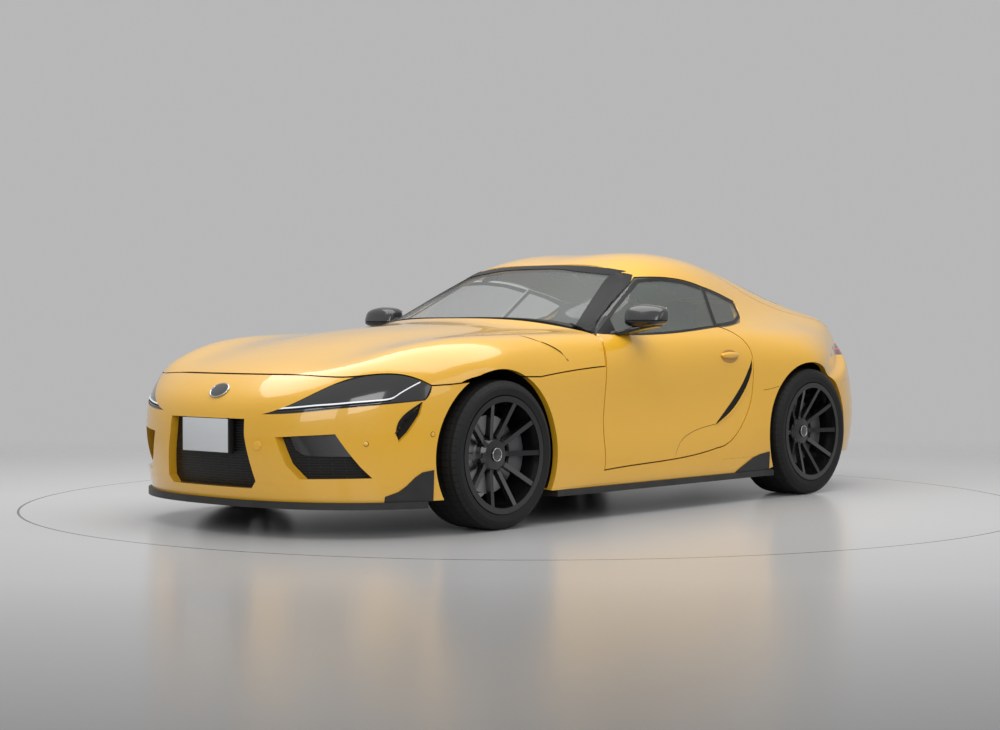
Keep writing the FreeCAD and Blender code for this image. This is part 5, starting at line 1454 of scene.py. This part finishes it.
@dataclass
class Cabin:
    """Roof lining, door cards and the panels beside the luggage floor."""

    bench: Bench
    lining_edge: tuple[Point, ...] = (
        (-60, 430, 1170), (-250, 450, 1190), (-500, 440, 1180), (-740, 420, 1150))
    cards: tuple[Strip, ...] = (
        Strip("door_card_left", Look.CABIN, "door_left", ("door_panel_left",), (0, -1, 0), (24, 16),
              0.004, 0.002, (
            ((400, 705, 800), (150, 705, 806), (-170, 705, 812), (-420, 705, 800)),
            ((400, 705, 300), (150, 705, 300), (-170, 705, 320), (-380, 705, 380)))),
        Strip("quarter_trim_left", Look.CABIN, "shell", ("quarter_left",), (0, -1, 0), (20, 16),
              0.004, 0.002, (
            ((-540, 640, 880), (-760, 640, 900), (-900, 600, 950), (-1000, 560, 1000)),
            ((-540, 640, 480), (-760, 640, 620), (-900, 600, 700), (-1000, 560, 720)))))

    def lining(self) -> None:
        """Makes the dark lining under the roof."""
        left = Path.mm(self.lining_edge)
        right = Path.mm([(x, -y, z) for x, y, z in self.lining_edge])
        lining = self.bench.ribbon((left, right), Skin("roof"), (0, 0, 1), (24, 24), -0.031, 0.035)
        self.bench.give(lining, "roof_lining", Look.CABIN, "shell")

    def build(self) -> None:
        """Makes the cabin's linings."""
        self.lining()
        self.bench.strips(self.cards)


@dataclass
class Seats:
    """Padded seats: cushion, back and head rest of black cloth with sewn channels and seams.

    Attributes:
        bench: Shared modelling steps.
        middle: Middle of the left seat across the car.
        voxel: Size of the remeshed cells.
        pressure: Air pressure in the cloth.
        cap: Furthest that a point may move.
        frames: Steps of the simulation.
        seam_edge: Distance of the bolsters' seams from the middle.
        channel_width: Half width of a sewn channel.
        channel_depth: Depth of a sewn channel.
        cushion_channels: Places of the cushion's cross channels along the car.
        back_channels: Heights of the back's cross channels.
        head_channel: Distance of the head rest's channels from the middle.
        face: Direction that the back faces.
        cushion_rows: Place, underside, seat height, bolster height and half width of each section.
        back_rows: Height, pad, bolster, rear face and half width of each section.
        head_rows: Height, front face, rear face and half width of each section.
    """

    bench: Bench
    middle: float = 0.370
    voxel: float = 0.006
    pressure: float = 4.0
    cap: float = 0.024
    frames: int = 20
    seam_edge: float = 0.122
    channel_width: float = 0.006
    channel_depth: float = 0.007
    cushion_channels: tuple[float, ...] = (-0.19, -0.27, -0.35, -0.43)
    back_channels: tuple[float, ...] = (0.52, 0.60, 0.68, 0.76)
    head_channel: float = 0.080
    face: Point = (0.95, 0.0, 0.30)
    cushion_rows: tuple[tuple[float, ...], ...] = (
        (-0.092, 0.330, 0.385, 0.395, 0.200), (-0.130, 0.230, 0.412, 0.424, 0.212),
        (-0.220, 0.210, 0.420, 0.452, 0.218), (-0.340, 0.210, 0.404, 0.462, 0.220),
        (-0.450, 0.210, 0.392, 0.458, 0.218), (-0.545, 0.215, 0.398, 0.440, 0.208))
    back_rows: tuple[tuple[float, ...], ...] = (
        (0.415, -0.575, -0.525, -0.680, 0.200), (0.500, -0.600, -0.545, -0.716, 0.215),
        (0.600, -0.632, -0.572, -0.745, 0.220), (0.700, -0.660, -0.612, -0.762, 0.218),
        (0.790, -0.682, -0.655, -0.770, 0.200), (0.845, -0.705, -0.696, -0.765, 0.165))
    head_rows: tuple[tuple[float, ...], ...] = (
        (0.868, -0.702, -0.778, 0.088), (0.910, -0.700, -0.790, 0.108), (0.960, -0.712, -0.798, 0.112),
        (1.005, -0.728, -0.798, 0.104), (1.028, -0.742, -0.792, 0.082))

    def outline(self, half_line: list[Pair], tip: Pair) -> list[Pair]:
        """Closes one half of a section with its mirror image.

        Args:
            half_line: Points on one side: distance from the middle, then height or place.
            tip: Point in the middle of the padded face.

        Returns:
            The whole outline, with distances across the car.
        """
        mirrored = [(-y, other) for y, other in half_line]
        whole = [mirrored[0], *half_line, tip, *reversed(mirrored[1:])]
        return [(self.middle + y, other) for y, other in whole]

    def cushion(self) -> Piece:
        """Makes the cushion between its side bolsters."""
        sections = []
        for x, low, seat, bolster, half in self.cushion_rows:
            side = [(half - 0.02, low), (half, (low + bolster) / 2), (half - 0.012, bolster),
                    (half - 0.060, bolster + 0.004), (half - 0.098, seat + 0.004)]
            sections.append([(x, y, z) for y, z in self.outline(side, (0.0, seat))])
        return self.bench.loft(sections)

    def back(self) -> Piece:
        """Makes the back between its side bolsters."""
        sections = []
        for z, pad, bolster, rear, half in self.back_rows:
            side = [(half - 0.03, rear), (half, (rear + bolster) / 2), (half - 0.014, bolster),
                    (half - 0.058, bolster - 0.004), (half - 0.096, pad - 0.002)]
            sections.append([(x, y, z) for y, x in self.outline(side, (0.0, pad))])
        return self.bench.loft(sections)

    def head_rest(self) -> Piece:
        """Makes the head rest, narrower at its top."""
        sections = []
        for z, face, rear, half in self.head_rows:
            side = [(half - 0.02, rear), (half, (rear + face) / 2), (half - 0.025, face)]
            sections.append([(x, y, z) for y, x in self.outline(side, (0.0, face + 0.003))])
        return self.bench.loft(sections)

    def swell(self, form: Piece) -> None:
        """Remeshes a form and lets air pressure round it as cloth.

        Args:
            form: Closed form, a little smaller than the pad.
        """
        self.bench.apply(form, "REMESH", mode="VOXEL", voxel_size=self.voxel)
        start = [vertex.co.copy() for vertex in form.data.vertices]
        scene = bpy.context.scene
        cloth = form.modifiers.new("cloth", "CLOTH")
        cloth.settings.use_pressure = True
        cloth.settings.uniform_pressure_force = self.pressure
        cloth.settings.effector_weights.gravity = 0.0
        cloth.point_cache.frame_start = 1
        cloth.point_cache.frame_end = self.frames
        for step in range(1, self.frames + 1):
            scene.frame_set(step)
        self.bench.pick(form)
        bpy.ops.object.modifier_apply(modifier="cloth")
        scene.frame_set(1)
        for vertex, before in zip(form.data.vertices, start):
            move = vertex.co - before
            if move.length > self.cap:
                vertex.co = before + move.normalized() * self.cap
        self.bench.apply(form, "SUBSURF", levels=1, render_levels=1)

    def channel(self, form: Piece, across: tuple[float, ...], axis: int, along: tuple[float, ...],
                facing: Point) -> None:
        """Presses the sewn channels into a pad.

        Args:
            form: The pad.
            across: Places of the channels that run across the seat, on the axis.
            axis: Axis of those places: 0 along the car, 2 upwards.
            along: Places of the channels that run along the pad, from its middle.
            facing: Direction of the padded face.
        """
        out = Vector(facing).normalized()
        leans = [vertex.normal.dot(out) for vertex in form.data.vertices]
        for vertex, lean in zip(form.data.vertices, leans):
            if lean < 0.25:
                continue
            side = abs(vertex.co.y - self.middle)
            gaps = [abs(side - place) for place in along]
            if side < self.seam_edge - 0.004:
                gaps += [abs(vertex.co[axis] - place) for place in across]
            vertex.co -= out * self.channel_depth * math.exp(-(min(gaps) / self.channel_width) ** 2)

    def seam(self, pad: Piece, name: str, points: list[Point], way: Point) -> None:
        """Lays a raised seam over a pad.

        Args:
            pad: The pad.
            name: Piece name that ends in left.
            points: Places along the seam in metres.
            way: Direction out of the pad.
        """
        first = Path(points)
        second = Path([(x, y + 0.003, z) for x, y, z in points])
        strip = self.bench.ribbon((first, second), Skin(pad), way, (40, 1), 0.0008, 0.001)
        self.bench.both(strip, name, Look.SEAM, "shell")

    def build(self) -> None:
        """Makes both seats."""
        cushion, back, head = self.cushion(), self.back(), self.head_rest()
        for form in (cushion, back, head):
            self.swell(form)
        self.channel(cushion, self.cushion_channels, 0, (self.seam_edge,), (0, 0, 1))
        self.channel(back, self.back_channels, 2, (self.seam_edge,), self.face)
        self.channel(head, (), 2, (self.head_channel,), self.face)
        pads = {}
        for form, name in ((cushion, "cushion"), (back, "back"), (head, "head_rest")):
            pads[name] = self.bench.both(form, f"seat_{name}_left", Look.CLOTH, "shell")
        for hand in (1, -1):
            edge = self.middle + hand * self.seam_edge
            mark = "outer" if hand == 1 else "inner"
            self.seam(pads["cushion"][0], f"cushion_seam_{mark}_left",
                      [(-0.14, edge, 0.42), (-0.30, edge, 0.41), (-0.50, edge, 0.40)], (0, 0, 1))
            self.seam(pads["back"][0], f"back_seam_{mark}_left",
                      [(-0.60, edge, 0.47), (-0.64, edge, 0.62), (-0.69, edge, 0.80)], self.face)
        posts = [self.bench.round((-0.742, self.middle + y, 0.862), (-0.04, 0, 1), 0.007, 0.060, 16, 0.001)
                 for y in (-0.05, 0.05)]
        self.bench.both(self.bench.joined(*posts), "head_rest_posts_left", Look.STEEL, "shell")
        for index, side in enumerate(("left", "right")):
            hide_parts(f"seat_{side}")
            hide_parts(f"seat_{side}")


@dataclass
class Rear:
    """Light bands in the tail lamps and diffuser fins."""

    bench: Bench
    fin_places: tuple[float, ...] = (-0.24, -0.12, 0, 0.12, 0.24)
    bands: tuple[Strip, ...] = (
        Strip("tail_band_left", Look.TAIL_LIGHT, "shell", ("tail_lamps",), (-0.8, 0.55, 0.15), (40, 1),
              0.001, 0.001, (
            ((-2020, 560, 766), (-1960, 640, 768), (-1860, 705, 772), (-1750, 735, 778)),
            ((-2020, 560, 776), (-1960, 640, 778), (-1860, 705, 781), (-1750, 735, 785)))),)

    def build(self) -> None:
        """Makes the tail's fittings."""
        self.bench.strips(self.bands)
        fins = [self.bench.block((-2.10, y, 0.262), (0.12, 0.010, 0.080), 0.003) for y in self.fin_places]
        self.bench.give(self.bench.joined(*fins), "diffuser_fins", Look.SATIN_BLACK, "shell")


def main() -> None:
    """Builds the classes in order."""
    logging.basicConfig(level=logging.INFO, format="%(message)s")
    Studio().build()
    finishes = Finishes()
    finishes.dress_nodes()
    bench = Bench(finishes)
    Nose(bench).build()
    Flanks(bench).build()
    DoorMirrors(bench).build()
    Wheels(bench).build()
    Cabin(bench).build()
    Seats(bench).build()
    Rear(bench).build()


if __name__ == "__main__":
    main()
